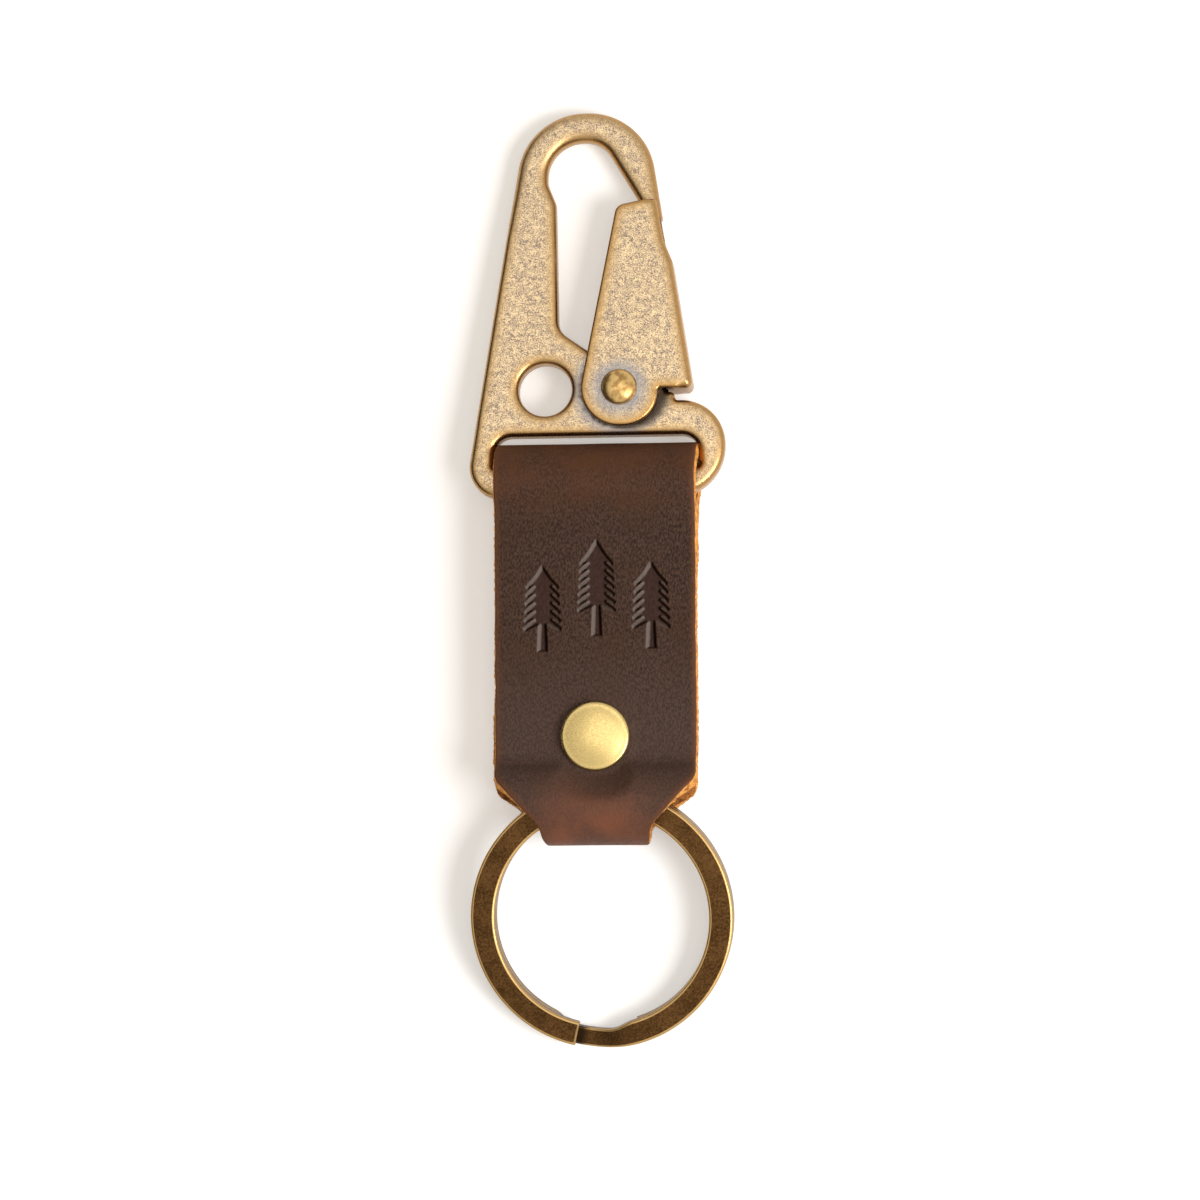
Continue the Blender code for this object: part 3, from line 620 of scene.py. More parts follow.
def lobe_corner(start):
    """Where the line from a point down the lobe's left side meets the lobe's lowest level."""
    away = hypot(*start)
    heading = atan2(-start[1], -start[0]) - asin(LOBE_RADIUS / away)
    drop = start[1] + LOBE_RADIUS
    return (start[0] - drop / tan(heading), -LOBE_RADIUS)


def gate_outline():
    """Outline of the gate about the pivot, from the tail's foot and counterclockwise."""
    top_right, top_left = (gate_point(shares) for shares in PLATE_TOP_SHARES)
    corners = [(TAIL_REACH, -TAIL_DROP, TAIL_ROUND)]
    corners += [(*gate_point(shares), TAIL_ROUND) for shares in (SPINE_TOP_SHARES, SPINE_STEP_SHARES)]
    corners += [(*top_right, PLATE_ROUNDS[0]), (*top_left, PLATE_ROUNDS[1])]
    corners += [(*lobe_corner(top_left), LOBE_RADIUS), (LOBE_RADIUS, -LOBE_RADIUS, LOBE_RADIUS)]
    return rounded(corners + [(LOBE_RADIUS, -TAIL_DROP, NOTCH_ROUND)])


def spine_line():
    """Foot of the gate's spine and the unit vector up its outer side."""
    foot = Vector((TAIL_REACH, -TAIL_DROP))
    return foot, (Vector(gate_point(SPINE_TOP_SHARES)) - foot).normalized()


def channel_outline():
    """Space between the gate's plates: all but the spine and the heel at its foot."""
    foot, rise = spine_line()
    inner_foot = foot + Vector((-rise.y, rise.x)) * GATE_PLATE
    heel_top = inner_foot + rise * (HEEL_HEIGHT / rise.y)
    spine_end = gate_height(SPINE_STEP_SHARES[1])
    inner_end = inner_foot + rise * ((spine_end - inner_foot.y) / rise.y)
    right, high = TAIL_REACH + OVERRUN, GATE_TOP - PIVOT.y + OVERRUN
    left = low = -LOBE_RADIUS - OVERRUN
    corners = [(left, low), (HEEL_REACH, low), (HEEL_REACH, heel_top.y), heel_top, inner_end]
    corners += [(right, spine_end), (right, high), (left, high)]
    return [Vector(point) for point in corners]


# Gate: the radii of its edges and the band along the spine that bends broadly
GATE_EDGE = 0.00032
SPINE_EDGE = 0.00105
SPINE_BAND = 0.0013
SPINE_BLEND = 0.0009


def gate_edge(points):
    """Radius of the gate's edge: a broad bend along the spine and a tight one elsewhere."""
    foot = np.array((TAIL_REACH, -TAIL_DROP))
    way = np.array(gate_point(SPINE_TOP_SHARES)) - foot
    way /= np.linalg.norm(way)
    away = np.abs((points - foot) @ np.array((way[1], -way[0])))
    along = (points - foot) @ way
    near = smooth(-away, -SPINE_BAND - SPINE_BLEND, -SPINE_BAND)
    near *= smooth(along, -SPINE_BLEND, SPINE_BLEND)
    return GATE_EDGE + (SPINE_EDGE - GATE_EDGE) * near


def build_gate(look):
    """Gate of two plates with a spine and a heel between them, bored for the pin."""
    faces, place = rounded_face(GATE_HALF, gate_edge), placed(GATE_PLACE)
    mesh, points, _ = relief(
        "gate_channel", [gate_outline()], gate_edge, CAST_STEP, faces, place, rows=4
    )
    tarnish_and_shade(mesh, points, points, False)
    item = link("gate_channel", mesh, look, "gate", ["hook_gate"])
    carve(item, "channel", channel_outline(), -CHANNEL_HALF, CHANNEL_HALF, GATE_PLACE)
    reach = GATE_HALF + OVERRUN
    carve(item, "pin_bore", circle((0.0, 0.0), PIN_HOLE_RADIUS), -reach, reach, GATE_PLACE)
    item.data.shade_smooth()
    item.data.set_sharp_from_angle(angle=PLATE_SHARP)


def turned(name, profile, matrix):
    """Mesh turned about its own Z axis from a closed section, or one that ends on the axis."""
    places, rows, faces = [], [], []
    for radius, height in profile:
        section = circle((0.0, 0.0), radius) if radius > 0 else [Vector((0.0, 0.0))]
        rows.append([len(places) + k for k in range(len(section))])
        places += [tuple(matrix @ Vector((*point, height))) for point in section]
    pairs = list(zip(rows, rows[1:])) + ([(rows[-1], rows[0])] if profile[0][0] > 0 else [])
    for one, two in pairs:
        for k in range(TURNED_SIDES):
            lower = [one[k - 1], one[k]] if len(one) > 1 else one
            upper = [two[k], two[k - 1]] if len(two) > 1 else two
            faces.append(lower + upper)
    return new_mesh(name, places, faces, TURNED_SHARP)


def arc(centre, radius, start, end, steps):
    """Points of an arc about a centre, from one angle to another."""
    angles = [start + (end - start) * k / steps for k in range(steps + 1)]
    return [(centre[0] + radius * cos(a), centre[1] + radius * sin(a)) for a in angles]


def build_pin(look):
    """Pivot pin with a domed head on each side of the gate."""
    seat = GATE_HALF + RUNNING_GAP
    angles = [radians(90) * k / HEAD_STEPS for k in range(HEAD_STEPS)]
    dome = [(PIN_HEAD_RADIUS * cos(a), PIN_HEAD_HEIGHT * sin(a)) for a in angles]
    dome.append((0.0, PIN_HEAD_HEIGHT))
    upper = [(PIN_RADIUS, seat)] + [(radius, seat + height) for radius, height in dome]
    profile = [(radius, -height) for radius, height in reversed(upper)] + upper
    mesh = turned("pivot_pin", profile, GATE_PLACE)
    link("pivot_pin", mesh, look, "hook", ["gate_pivot_pin"])


# Rivet caps: the round shoulder, the crown's fall and the rim's curl
CAP_ROUND = 0.0005
CAP_SAG = 0.00055
CAP_CURL = 0.0012
CAP_SHOULDER = radians(82)


def cap_section(height):
    """Section of a pressed cap: a soft crown, a round shoulder and a curled rim, then the lining."""
    flat = CAP_RADIUS - CAP_ROUND
    brim = height - CAP_SAG - CAP_ROUND
    shares = [k / CROWN_STEPS for k in range(CROWN_STEPS + 1)]
    crown = [(flat * share, height - CAP_SAG * share**2) for share in shares]
    shoulder = arc((flat, brim), CAP_ROUND, CAP_SHOULDER, 0.0, CROWN_STEPS)
    foot = CAP_SHEET / 2
    curl = arc((CAP_RADIUS - foot, foot), foot, 0.0, radians(-90), 4)
    mouth, wall = flat - CAP_CURL, CAP_RADIUS - CAP_SHEET
    lining = [(mouth, 0.0), (mouth, CAP_SHEET), (wall, CAP_SHEET), (wall, brim)]
    inner = [(radius * (flat - CAP_SHEET) / flat, level - CAP_SHEET) for radius, level in crown[::-1]]
    return crown + shoulder + curl + lining + inner


def build_rivet(look):
    """Front and back cap; the socket and the post between them stay as the solids show them."""
    front = Matrix.Translation((-STRAP_SHIFT, RIVET_Y, FRONT_TOP + SEAT_GAP))
    back = Matrix.Translation((-STRAP_SHIFT, RIVET_Y, BACK_LOW - SEAT_GAP))
    back = back @ Matrix.Rotation(pi, 4, "X")
    for name, height, place, node in (
        ("rivet_cap", FRONT_CAP_HEIGHT, front, "rivet_front_cap"),
        ("rivet_foot", BACK_CAP_HEIGHT, back, "rivet_back_cap"),
    ):
        mesh = turned(name, cap_section(height), place)
        link(name, mesh, look, "strap", [node])


def tube(name, route, radius, sides):
    """Mesh tube along a route, with flat ends and a section that doesn't twist."""
    places, side = [], None
    for i, point in enumerate(route):
        way = (route[min(i + 1, len(route) - 1)] - route[max(i - 1, 0)]).normalized()
        if side is None:
            side = way.orthogonal().normalized()
        side = (side - way * side.dot(way)).normalized()
        other = way.cross(side)
        section = arc((0.0, 0.0), radius, 0.0, 2 * pi, sides)[:-1]
        places += [tuple(point + side * across + other * up) for across, up in section]
    ends = [list(range(sides))[::-1], [(len(route) - 1) * sides + k for k in range(sides)]]
    return new_mesh(name, places, sleeve(len(route), sides) + ends, WIRE_SHARP)


# Spring: fineness of its coil, wire and long leg
COIL_STEP = radians(10)
WIRE_SIDES = 14
LEG_PARTS = 12


def build_spring(look):
    """Torsion spring: a coil about the pin, a short fixed leg, and a long leg that reaches to the
    gate's spine.
    """

    def on_coil(angle, level):
        return Vector((SPRING_RADIUS * cos(angle), SPRING_RADIUS * sin(angle), level))

    start = on_coil(SPRING_START, SPRING_HIGH)
    route = [start + Vector((0.0, FIXED_LEG * (1 - k / 4), 0.0)) for k in range(4)]
    steps = ceil(SPRING_TURN / COIL_STEP)
    for k in range(steps + 1):
        level = SPRING_HIGH + (SPRING_LOW - SPRING_HIGH) * k / steps
        route.append(on_coil(SPRING_START + SPRING_TURN * k / steps, level))
    leave = route[-1]
    heading = SPRING_START + SPRING_TURN + radians(90)
    foot, rise = spine_line()
    out, way = Vector((rise.y, -rise.x)), Vector((cos(heading), sin(heading)))
    room = foot.dot(out) - GATE_PLATE - SEAT_GAP - WIRE / 2 - leave.to_2d().dot(out)
    leg = (way * room / way.dot(out)).to_3d()
    route += [leave + leg * k / LEG_PARTS for k in range(1, LEG_PARTS + 1)]
    mesh = tube("torsion_spring", route, WIRE / 2, WIRE_SIDES)
    mesh.transform(GATE_PLACE)
    item = link("torsion_spring", mesh, look, None, ["gate_spring"])
    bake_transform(item)


# Ring: its edges and fineness, how it draws back at the jog, where painted shade darkens the gap
# under the upper turn's end, and where worn metal and painted highlight make it bright
RING_EDGE = 0.00028
RING_STEP = radians(2)
RING_STOPS = ((0.04, 0.2, 0.4, 0.6, 0.8, 0.96), (0.1, 0.5, 0.9))
RING_DRAW = 0.00070
RING_DRAW_IN = (0.05, 0.5)
RING_DRAW_OUT = (-1.6, -1.2)
RING_WIDER = 0.00020
RING_GAP_SHADE = radians(6)
PLAIN_DEPTH = 0.002
UNDERSIDE_WEAR_AND_HIGHLIGHT = 0.2
JOG_HIGHLIGHT = 0.45
JOG_SLOPE = (0.3, 0.9)


def ring_section():
    """Section of the ring's wire as (outward, upward, brightness) points, with rounded edges: the
    upper edges bright with wear and painted highlight, the lower ones less.
    """
    half_band, half_turn = RING_BAND / 2 - RING_EDGE, RING_TURN / 2 - RING_EDGE
    arcs = []
    for k, (across, up) in enumerate(((1, 1), (-1, 1), (-1, -1), (1, -1))):
        start = radians(90) * k
        middle = (across * half_band, up * half_turn)
        arcs.append(arc(middle, RING_EDGE, start, start + radians(90), 5))
    section = []
    for k, (found, after) in enumerate(zip(arcs, arcs[1:] + arcs[:1])):
        section += [(out, level, 1.0 if k < 2 else UNDERSIDE_WEAR_AND_HIGHLIGHT) for out, level in found]
        near, rise = found[-1], (after[0][0] - found[-1][0], after[0][1] - found[-1][1])
        for stop in RING_STOPS[k % 2]:
            section.append((near[0] + rise[0] * stop, near[1] + rise[1] * stop, 0.0))
    return section


def past_jog(angle):
    """How far an angle on the ring is through the jog: 0 where it starts and 1 where it ends."""
    return (RING_JOG_FROM - 2 * pi - angle) / (RING_JOG_FROM - RING_JOG_TO)


def ring_level(angle):
    """Height of the wire's middle: upper turn, a smooth jog over the ring's foot, lower turn."""
    return (RING_TURN + RING_GAP) / 2 * cos(pi * min(1.0, max(0.0, past_jog(angle))))


def ring_narrow(angle):
    """How far the inner side draws back where the wire dips under the upper turn's end."""
    past = past_jog(angle)
    return RING_DRAW * float(smooth(past, *RING_DRAW_IN) * smooth(-past, *RING_DRAW_OUT))


def build_ring(look):
    """Two turns of flat wire, angles measured from the ring's foot toward +X."""
    turn = RING_LOWER_END - 4 * pi - RING_UPPER_END
    steps = ceil(abs(turn) / RING_STEP)
    section = ring_section()
    count = len(section)
    under_end = RING_UPPER_END - 2 * pi - RING_GAP_SHADE
    places, depth, grime = [], [], []
    for k in range(steps + 1):
        angle = RING_UPPER_END + turn * k / steps
        level = ring_level(angle)
        drawn = ring_narrow(angle) - RING_WIDER
        # painted highlight on the jog's slope
        slope_highlight = JOG_HIGHLIGHT * float(smooth(cos(pi * level / RING_TURN), *JOG_SLOPE))
        # painted shade in the gap where the lower turn runs under the upper turn's end
        dark = 1.0 - float(smooth(angle - under_end, 1.4 * RING_GAP_SHADE, 2 * RING_GAP_SHADE))
        for out, up, worn in section:
            reach = RING_MID + out + drawn * (0.5 - out / RING_BAND)
            point = Vector((reach * sin(angle), -reach * cos(angle) - RING_DROP, level + up))
            places.append(tuple(RING_PLACE @ point))
            # stored depth is 0 where the metal is bright from wear and painted highlight
            depth.append(PLAIN_DEPTH * (1.0 - (1.0 if k == 0 else max(worn, slope_highlight))))
            grime.append(dark if angle > under_end else 0.0)
    ends = [list(range(count)), [steps * count + j for j in range(count)][::-1]]
    sides = [[b, a, d, c] for a, b, c, d in sleeve(steps + 1, count)]
    mesh = new_mesh("split_ring", places, ends + sides, WIRE_SHARP)
    attribute(mesh, "depth", depth)
    attribute(mesh, "grime", grime)
    link("split_ring", mesh, look, "ring", ["key_ring"])


def bend(inside_radius, turn):
    """Piece of the strap's middle line that bends by an angle, with its inner face at a radius."""
    return ((inside_radius + LEATHER / 2) * abs(turn), turn)


def ease(inside_radius, half_gap, ease_radius):
    """Where a round loop eases into flat layers by a reverse bend.

    Gives the angle at which the two bends meet and the distance from the loop's axis to where
    the layers turn flat.
    """
    back = ease_radius + LEATHER / 2
    whole, rise = inside_radius + LEATHER / 2 + back, half_gap + LEATHER / 2 + back
    return acos(rise / whole), sqrt(whole**2 - rise**2)


def strap_track():
    """Pieces (length, turn) of the strap's middle line, and its start.

    It starts at the inner end above the rivet, goes down round the key ring, up the front,
    round the hook's bar and down the back to the end below the rivet.
    """
    back_angle, back_reach = ease(LOOP_RADIUS, PAIR_HALF_GAP, LOOP_BACK_EASE)
    front_angle, front_reach = ease(LOOP_RADIUS, PAIR_HALF_GAP, LOOP_FRONT_EASE)
    fold_angle, fold_reach = ease(FOLD_RADIUS, TRIPLE_HALF_GAP, FOLD_EASE)
    back_flat, front_flat = RING_AXIS_Y + back_reach, RING_AXIS_Y + front_reach
    fold_flat, inner_end = HOOK_AXIS_Y - fold_reach, RIVET_Y + CAP_RADIUS + INNER_END_LAP
    pieces = [
        (inner_end - back_flat, 0.0),
        bend(LOOP_BACK_EASE, back_angle),
        bend(LOOP_RADIUS, -back_angle - pi / 2),
        bend(LOOP_RADIUS, -front_angle - pi / 2),
        bend(LOOP_FRONT_EASE, front_angle),
        (fold_flat - front_flat, 0.0),
        bend(FOLD_EASE, fold_angle),
        bend(FOLD_RADIUS, -2 * fold_angle - pi),
        bend(FOLD_EASE, fold_angle),
        (fold_flat - back_flat, 0.0),
    ]
    return pieces, Vector((inner_end, RING_AXIS_Z - PAIR_HALF_GAP - LEATHER / 2))


# The strap's middle line, and distances along it
TRACK, TRACK_START = strap_track()
PIECE_ENDS = np.cumsum([length for length, turn in TRACK])
STRAP_LENGTH = float(PIECE_ENDS[-1])
FAR_POINT = float(PIECE_ENDS[2])
FRONT_FLAT = float(PIECE_ENDS[4])
FRONT_FLAT_Y = RING_AXIS_Y + ease(LOOP_RADIUS, PAIR_HALF_GAP, LOOP_FRONT_EASE)[1]
FOLD_TOP = float(PIECE_ENDS[6]) + TRACK[7][0] / 2


def along_track(distances):
    """Y, Z and heading of the strap's middle line at distances along it."""
    found = np.zeros((3, len(distances)))
    place, heading, done = np.array(TRACK_START), pi, 0.0
    for length, turn in TRACK:
        mask = (distances >= done) if done else np.ones(len(distances), dtype=bool)
        part = np.clip(distances[mask] - done, None, length)
        after = heading + turn
        if turn:
            radius = length / turn
            angle = heading + turn * part / length
            across = place[0] + radius * (np.sin(angle) - sin(heading))
            up = place[1] - radius * (np.cos(angle) - cos(heading))
            step = radius * np.array((sin(after) - sin(heading), cos(heading) - cos(after)))
        else:
            angle = np.full(len(part), heading)
            across = place[0] + cos(heading) * part
            up = place[1] + sin(heading) * part
            step = length * np.array((cos(heading), sin(heading)))
        found[:, mask] = np.stack((across, up, angle))
        place, heading, done = place + step, after, done + length
    return found


# How far the back layers drift, and how the caps press the leather and make it swell
BACK_DRIFT = 0.00045
CAP_PRESS = 0.0004
CAP_SLOPE = 0.9
CAP_SWELL = 0.00018


def drift(distances):
    """How far the back layers lie to the left of the front one."""
    below = smooth(distances, FOLD_TOP, STRAP_LENGTH - SHOULDER_REACH)
    return BACK_DRIFT * (below + smooth(-distances, -FAR_POINT, -FAR_POINT + NECK_REACH))


def strap_place(points, heights):
    """Bend the flat strip round the hook's bar and the key ring, and press it under the caps."""
    along, up, heading = along_track(points[:, 1])
    across = points[:, 0] - STRAP_SHIFT - drift(points[:, 1])
    along, up = along - np.sin(heading) * heights, up + np.cos(heading) * heights
    away = np.hypot(across + STRAP_SHIFT, along - RIVET_Y)
    slack = np.clip(away - CAP_RADIUS - CAP_PRESS, 0.0, None)
    up = np.minimum(up, FRONT_TOP + slack * CAP_SLOPE)
    swell = CAP_SWELL * smooth(-away, -CAP_RADIUS - 3 * CAP_PRESS, -CAP_RADIUS)
    up += swell * smooth(up, FRONT_TOP - LEATHER / 2, FRONT_TOP)
    up -= swell * smooth(-up, -BACK_LOW - LEATHER / 2, -BACK_LOW)
    return np.stack((across, along, up), axis=1)


def neck_profile(shoulder):
    """Half width of the strap against its distance from the loop's far point."""
    beyond = shoulder + STRAP_WIDTH
    corners = [(-beyond, -STRAP_HALF, 0.0), (beyond, -STRAP_HALF, 0.0), (beyond, STRAP_HALF, 0.0)]
    corners.append((shoulder, STRAP_HALF, SHOULDER_ROUND))
    corners.append((NECK_REACH, NECK_HALF + NECK_FLARE, NECK_BLEND))
    corners += [(0.0, NECK_HALF, 0.0), (-beyond, NECK_HALF, 0.0)]
    upper = [tuple(point) for point in rounded(corners) if point.y > 0]
    return np.array(sorted(upper, key=lambda point: point[0]))


# Edges cut by hand: the inner layer's lag, the fold's extra width and the unevenness
INNER_LAG = 0.0012
FOLD_FILL = 0.00024
FILL_IN = (-0.006, 0.0)
FILL_OUT = (-0.010, -0.005)
EDGE_WANDER = 0.00009
WANDER_SIZE = 0.0024
FRAY = 0.00018
FRAY_SIZE = 0.00035
CORE_PROUD = 0.8
STRIP_STEP = 0.0005
EDGE_STEP = 0.0003


def strip_outline():
    """Outline of the flat strip: narrow at the neck, rounded at both ends, edges cut by hand."""
    front, inner = neck_profile(SHOULDER_REACH), neck_profile(SHOULDER_REACH - INNER_LAG)
    stops = np.linspace(0.0, STRAP_LENGTH, ceil(STRAP_LENGTH / EDGE_STEP))
    rounds = END_ROUND * (1 - np.cos(np.linspace(0.0, pi / 2, 10)))
    stops = np.unique(np.concatenate((stops, rounds, STRAP_LENGTH - rounds)))
    away = np.abs(stops - FAR_POINT)
    width = np.interp(away, front[:, 0], front[:, 1])
    width = np.where(stops < FAR_POINT, np.interp(away, inner[:, 0], inner[:, 1]), width)
    inset = np.clip(END_ROUND - np.minimum(stops, STRAP_LENGTH - stops), 0.0, None)
    width -= END_ROUND - np.sqrt(END_ROUND**2 - inset**2)
    past = stops - FOLD_TOP
    fill = FOLD_FILL * smooth(past, *FILL_IN) * smooth(-past, *FILL_OUT)
    right = [Vector((w + f + wander(s, 1.7), s)) for w, f, s in zip(width, fill, stops)]
    left = [Vector((-w - wander(s, 5.1), s)) for w, s in zip(width, stops)]
    return right + left[::-1]


def wander(along, seed):
    """Small unevenness of a cut edge."""
    return noise.noise(Vector((along / WANDER_SIZE, seed, 0.0))) * EDGE_WANDER


def front_distance(y):
    """Distance along the strip of a height on its flat front."""
    return FRONT_FLAT + y - FRONT_FLAT_Y


def back_distance(y):
    """Distance along the strip of a height on its flat back."""
    end = along_track(np.array([STRAP_LENGTH]))[0][0]
    return STRAP_LENGTH - y + end


def inner_distance(y):
    """Distance along the strip of a height on its inner end."""
    return TRACK_START[0] - y


# Each tree: middle, foot, height of the trunk, height of the crown, half width, boughs a side
TREES = (
    (-0.00645, -0.00975, 0.0027, 0.0080, 0.00236, 6),
    (0.00022, -0.00790, 0.0031, 0.0089, 0.00240, 7),
    (0.00690, -0.00950, 0.0026, 0.0082, 0.00238, 6),
)
# Shares of a tree's sizes: trunk at its foot and top, bough's root and tip, and the top cone
TRUNK_HALF = 0.00058
TRUNK_SHARES = (1.1, 0.85)
TRUNK_TOP_SHARE = 0.6
BOUGH_SHARES = (0.93, -0.20, 0.22)
TIP_SHARES = (0.40, 0.50)
CORE_SHARE = 0.50
CONE_SHARE = 0.36
CONE_REACH_SHARE = 0.86
DROOP_SHARE = 1.22
# How the trees are pressed: depth, wall, lip, and how their sides are told apart for the painted
# highlight and painted shade on their walls
TREE_DEPTH = 0.00052
TREE_WALL = 0.00034
TREE_LIP = 0.00008
TREE_STEP = 0.00010
TREE_MARGIN = 0.0003
TREE_SIDE = 0.00012
WALL_GAIN = 1.4


def tree_outline(middle, foot, trunk, crown, half, boughs):
    """Counterclockwise outline of a conifer with drooping boughs on a short trunk."""
    base, top = foot + trunk, foot + trunk + crown
    pitch = crown * (1 - CONE_SHARE) / (boughs - 1)
    wide, slim = (TRUNK_HALF * share for share in TRUNK_SHARES)
    side = [(wide, foot), (slim, base + pitch * TRUNK_TOP_SHARE)]
    root, low, high = BOUGH_SHARES
    for k in range(boughs):
        reach = half * (1.0 - (1.0 - CONE_REACH_SHARE) * k / (boughs - 1))
        side.append((reach * root, base + (k + low) * pitch))
        side.append((reach, base + (k + high) * pitch))
        side.append((half * CORE_SHARE, base + (k + DROOP_SHARE) * pitch))
    side[-1] = (half * TIP_SHARES[0], top - crown * CONE_SHARE * TIP_SHARES[1])
    side.append((0.0, top))
    outline = side + [(-across, along) for across, along in side[-2::-1]]
    return [Vector((middle + across, front_distance(along))) for across, along in outline]


def signed_depth(points, rims):
    """Distance inside the trees, negative outside them."""
    away = distance_to(points, rims)
    return np.where(inside(points, rims), away, -away)


def tree_points(rims):
    """Fine grid over the trees and just round them."""
    found = []
    for rim in rims:
        low, high = rim.min(axis=0) - 2 * TREE_MARGIN, rim.max(axis=0) + 2 * TREE_MARGIN
        box = np.array([low, (high[0], low[1]), high, (low[0], high[1])])
        grid = lattice([box], TREE_STEP)
        found.append(grid[signed_depth(grid, [rim]) > -TREE_MARGIN])
    return np.concatenate(found)


# Leather: rounding of its edges, wave of its skin and rows of its cut wall
GRAIN_EDGE = 0.00024
FLESH_EDGE = 0.00012
SKIN_WAVE = 0.00003
SKIN_WAVE_SIZE = 0.006
WALL_ROWS = 8


def strip_edge(points):
    """Radius of the leather's edge, the same everywhere."""
    return np.full(len(points), GRAIN_EDGE)


def fray(points, share):
    """Outward unevenness of the cut edge: loose fibres, with the core standing a little proud."""
    rough = [noise.noise(Vector((x / FRAY_SIZE, y / FRAY_SIZE, share * 9))) for x, y in points]
    swell = FRAY * CORE_PROUD * sin(pi * share)
    return swell + FRAY * np.array(rough) * sin(pi * share) ** 0.5


def pressed_share(points, trees, shift=0.0):
    """How far down the pressed trees' walls each point lies: 0 outside, 1 on their floors."""
    near = np.abs(points[:, 1] - front_distance(0.0)) < STRAP_SPAN / 2
    share = np.zeros(len(points))
    depth = signed_depth(points[near] + (shift, 0.0), trees)
    share[near] = smooth(depth, -TREE_LIP, TREE_WALL)
    return share


def build_strap(grain, flesh, cut_edge):
    """One strip of leather with pressed trees, bent round the hook's bar and the key ring."""
    trees = [spread(tree_outline(*tree), TREE_WALL) for tree in TREES]
    outlines = [strip_outline()]
    for distance in (inner_distance(RIVET_Y), front_distance(RIVET_Y), back_distance(RIVET_Y)):
        middle = (float(drift(np.array([distance]))[0]), distance)
        hole = circle(middle, SOCKET_RADIUS + RUNNING_GAP, TURNED_SIDES // 3)
        outlines.append(hole[::-1])

    def faces(points, depth):
        upper, lower = (
            LEATHER / 2 - edge + edge * np.sqrt(1 - np.clip(1 - depth / edge, 0.0, 1.0) ** 2)
            for edge in (GRAIN_EDGE, FLESH_EDGE)
        )
        upper += waves(points, SKIN_WAVE_SIZE, SKIN_WAVE) - TREE_DEPTH * pressed_share(points, trees)
        return upper, -lower

    mesh, points, walls_from = relief(
        "leather_strip", outlines, strip_edge, STRIP_STEP, faces, strap_place,
        WALL_ROWS, fray, tree_points(trees),
    )
    skins = walls_from // 2
    part = np.repeat((0, 1, 2), (skins, walls_from - skins, len(mesh.polygons) - walls_from))
    mesh.polygons.foreach_set("material_index", part.astype(np.int32))
    pressed = pressed_share(points, trees)
    rise = pressed_share(points, trees, TREE_SIDE) - pressed_share(points, trees, -TREE_SIDE)
    store(mesh, "pressed", pressed)
    store(mesh, "wall", 4 * pressed * (1 - pressed))
    # painted highlight on the walls that face the key lamp, painted shade on those that face away
    store(mesh, "lit", np.clip(WALL_GAIN * rise, 0.0, 1.0))
    store(mesh, "burnt", np.clip(-WALL_GAIN * rise, 0.0, 1.0))
    store(mesh, "along", points[:, 1], 2)
    store(mesh, "across", np.abs(points[:, 0]))
    looks = [grain, flesh, cut_edge]
    link("leather_strip", mesh, looks, "strap", ["leather_strap"])


class Look:
    """A material's node tree, built up call by call, with the colour laid on so far."""

    def __init__(self, name, metallic, roughness=0.5):
        self.material = bpy.data.materials.new(name)
        self.material.use_nodes = True
        self.tree = self.material.node_tree
        self.shader = self.tree.nodes["Principled BSDF"]
        self.shader.inputs["Metallic"].default_value = metallic
        self.shader.inputs["Roughness"].default_value = roughness
        self.place = self.tree.nodes.new("ShaderNodeTexCoord").outputs["Object"]
        self.colour = None

    def put(self, socket, value):
        """Link an output to a socket, or set the socket to a plain value."""
        if isinstance(value, bpy.types.NodeSocket):
            self.tree.links.new(value, socket)
        else:
            opaque = isinstance(value, tuple) and len(socket.default_value) > len(value)
            socket.default_value = (*value, 1.0) if opaque else value

    def node(self, kind, values=(), **settings):
        made = self.tree.nodes.new("ShaderNode" + kind)
        for setting, value in settings.items():
            setattr(made, setting, value)
        for socket, value in values:
            self.put(made.inputs[socket], value)
        return made

    def noise(self, scale, detail, rough, stretch=None):
        """Noise whose features are about 1 / scale metres across."""
        place = self.place
        if stretch:
            place = self.node("Mapping", [("Vector", place), ("Scale", stretch)]).outputs[0]
        values = [("Vector", place), ("Scale", scale), ("Detail", detail), ("Roughness", rough)]
        return self.node("TexNoise", values).outputs["Fac"]

    def span(self, value, low, high, new_low=0.0, new_high=1.0):
        """Map a range of values to another, clamped and smooth."""
        values = [("Value", value), ("From Min", low), ("From Max", high)]
        values += [("To Min", new_low), ("To Max", new_high)]
        return self.node("MapRange", values, interpolation_type="SMOOTHSTEP").outputs["Result"]

    def mix(self, share, one, two):
        values = ((0, share), (6, one), (7, two))
        return self.node("Mix", values, data_type="RGBA").outputs[2]

    def math(self, operation, one, two):
        return self.node("Math", [(0, one), (1, two)], operation=operation).outputs[0]

    def blend(self, fine, coarse, share):
        """Two noises added up, the fine one by its share and the coarse one by the rest."""
        fine, coarse = self.math("MULTIPLY", fine, share), self.math("MULTIPLY", coarse, 1 - share)
        return self.math("ADD", fine, coarse)

    def specks(self, field, low, high, dark, light):
        """Start the colour with dark and light specks from a noise field."""
        self.colour = self.mix(self.span(field, low, high), dark, light)

    def lay(self, share, colour, strength=None):
        """Lay a colour over what is there, by a share and a strength."""
        if strength:
            share = self.math("MULTIPLY", share, strength)
        self.colour = self.mix(share, self.colour, colour)

    def stored(self, name):
        return self.node("Attribute", attribute_name=name).outputs["Fac"]

    def bump(self, height, strength, distance):
        values = [("Height", height), ("Strength", strength), ("Distance", distance)]
        normal = self.shader.inputs["Normal"]
        if normal.is_linked:
            values.append(("Normal", normal.links[0].from_socket))
        self.put(normal, self.node("Bump", values).outputs[0])

    def finish(self, **sockets):
        """Set the shader's sockets, the colour built up among them, and give the material."""
        for socket, value in ({"Base_Color": self.colour} | sockets).items():
            self.put(self.shader.inputs[socket.replace("_", " ")], value)
        return self.material


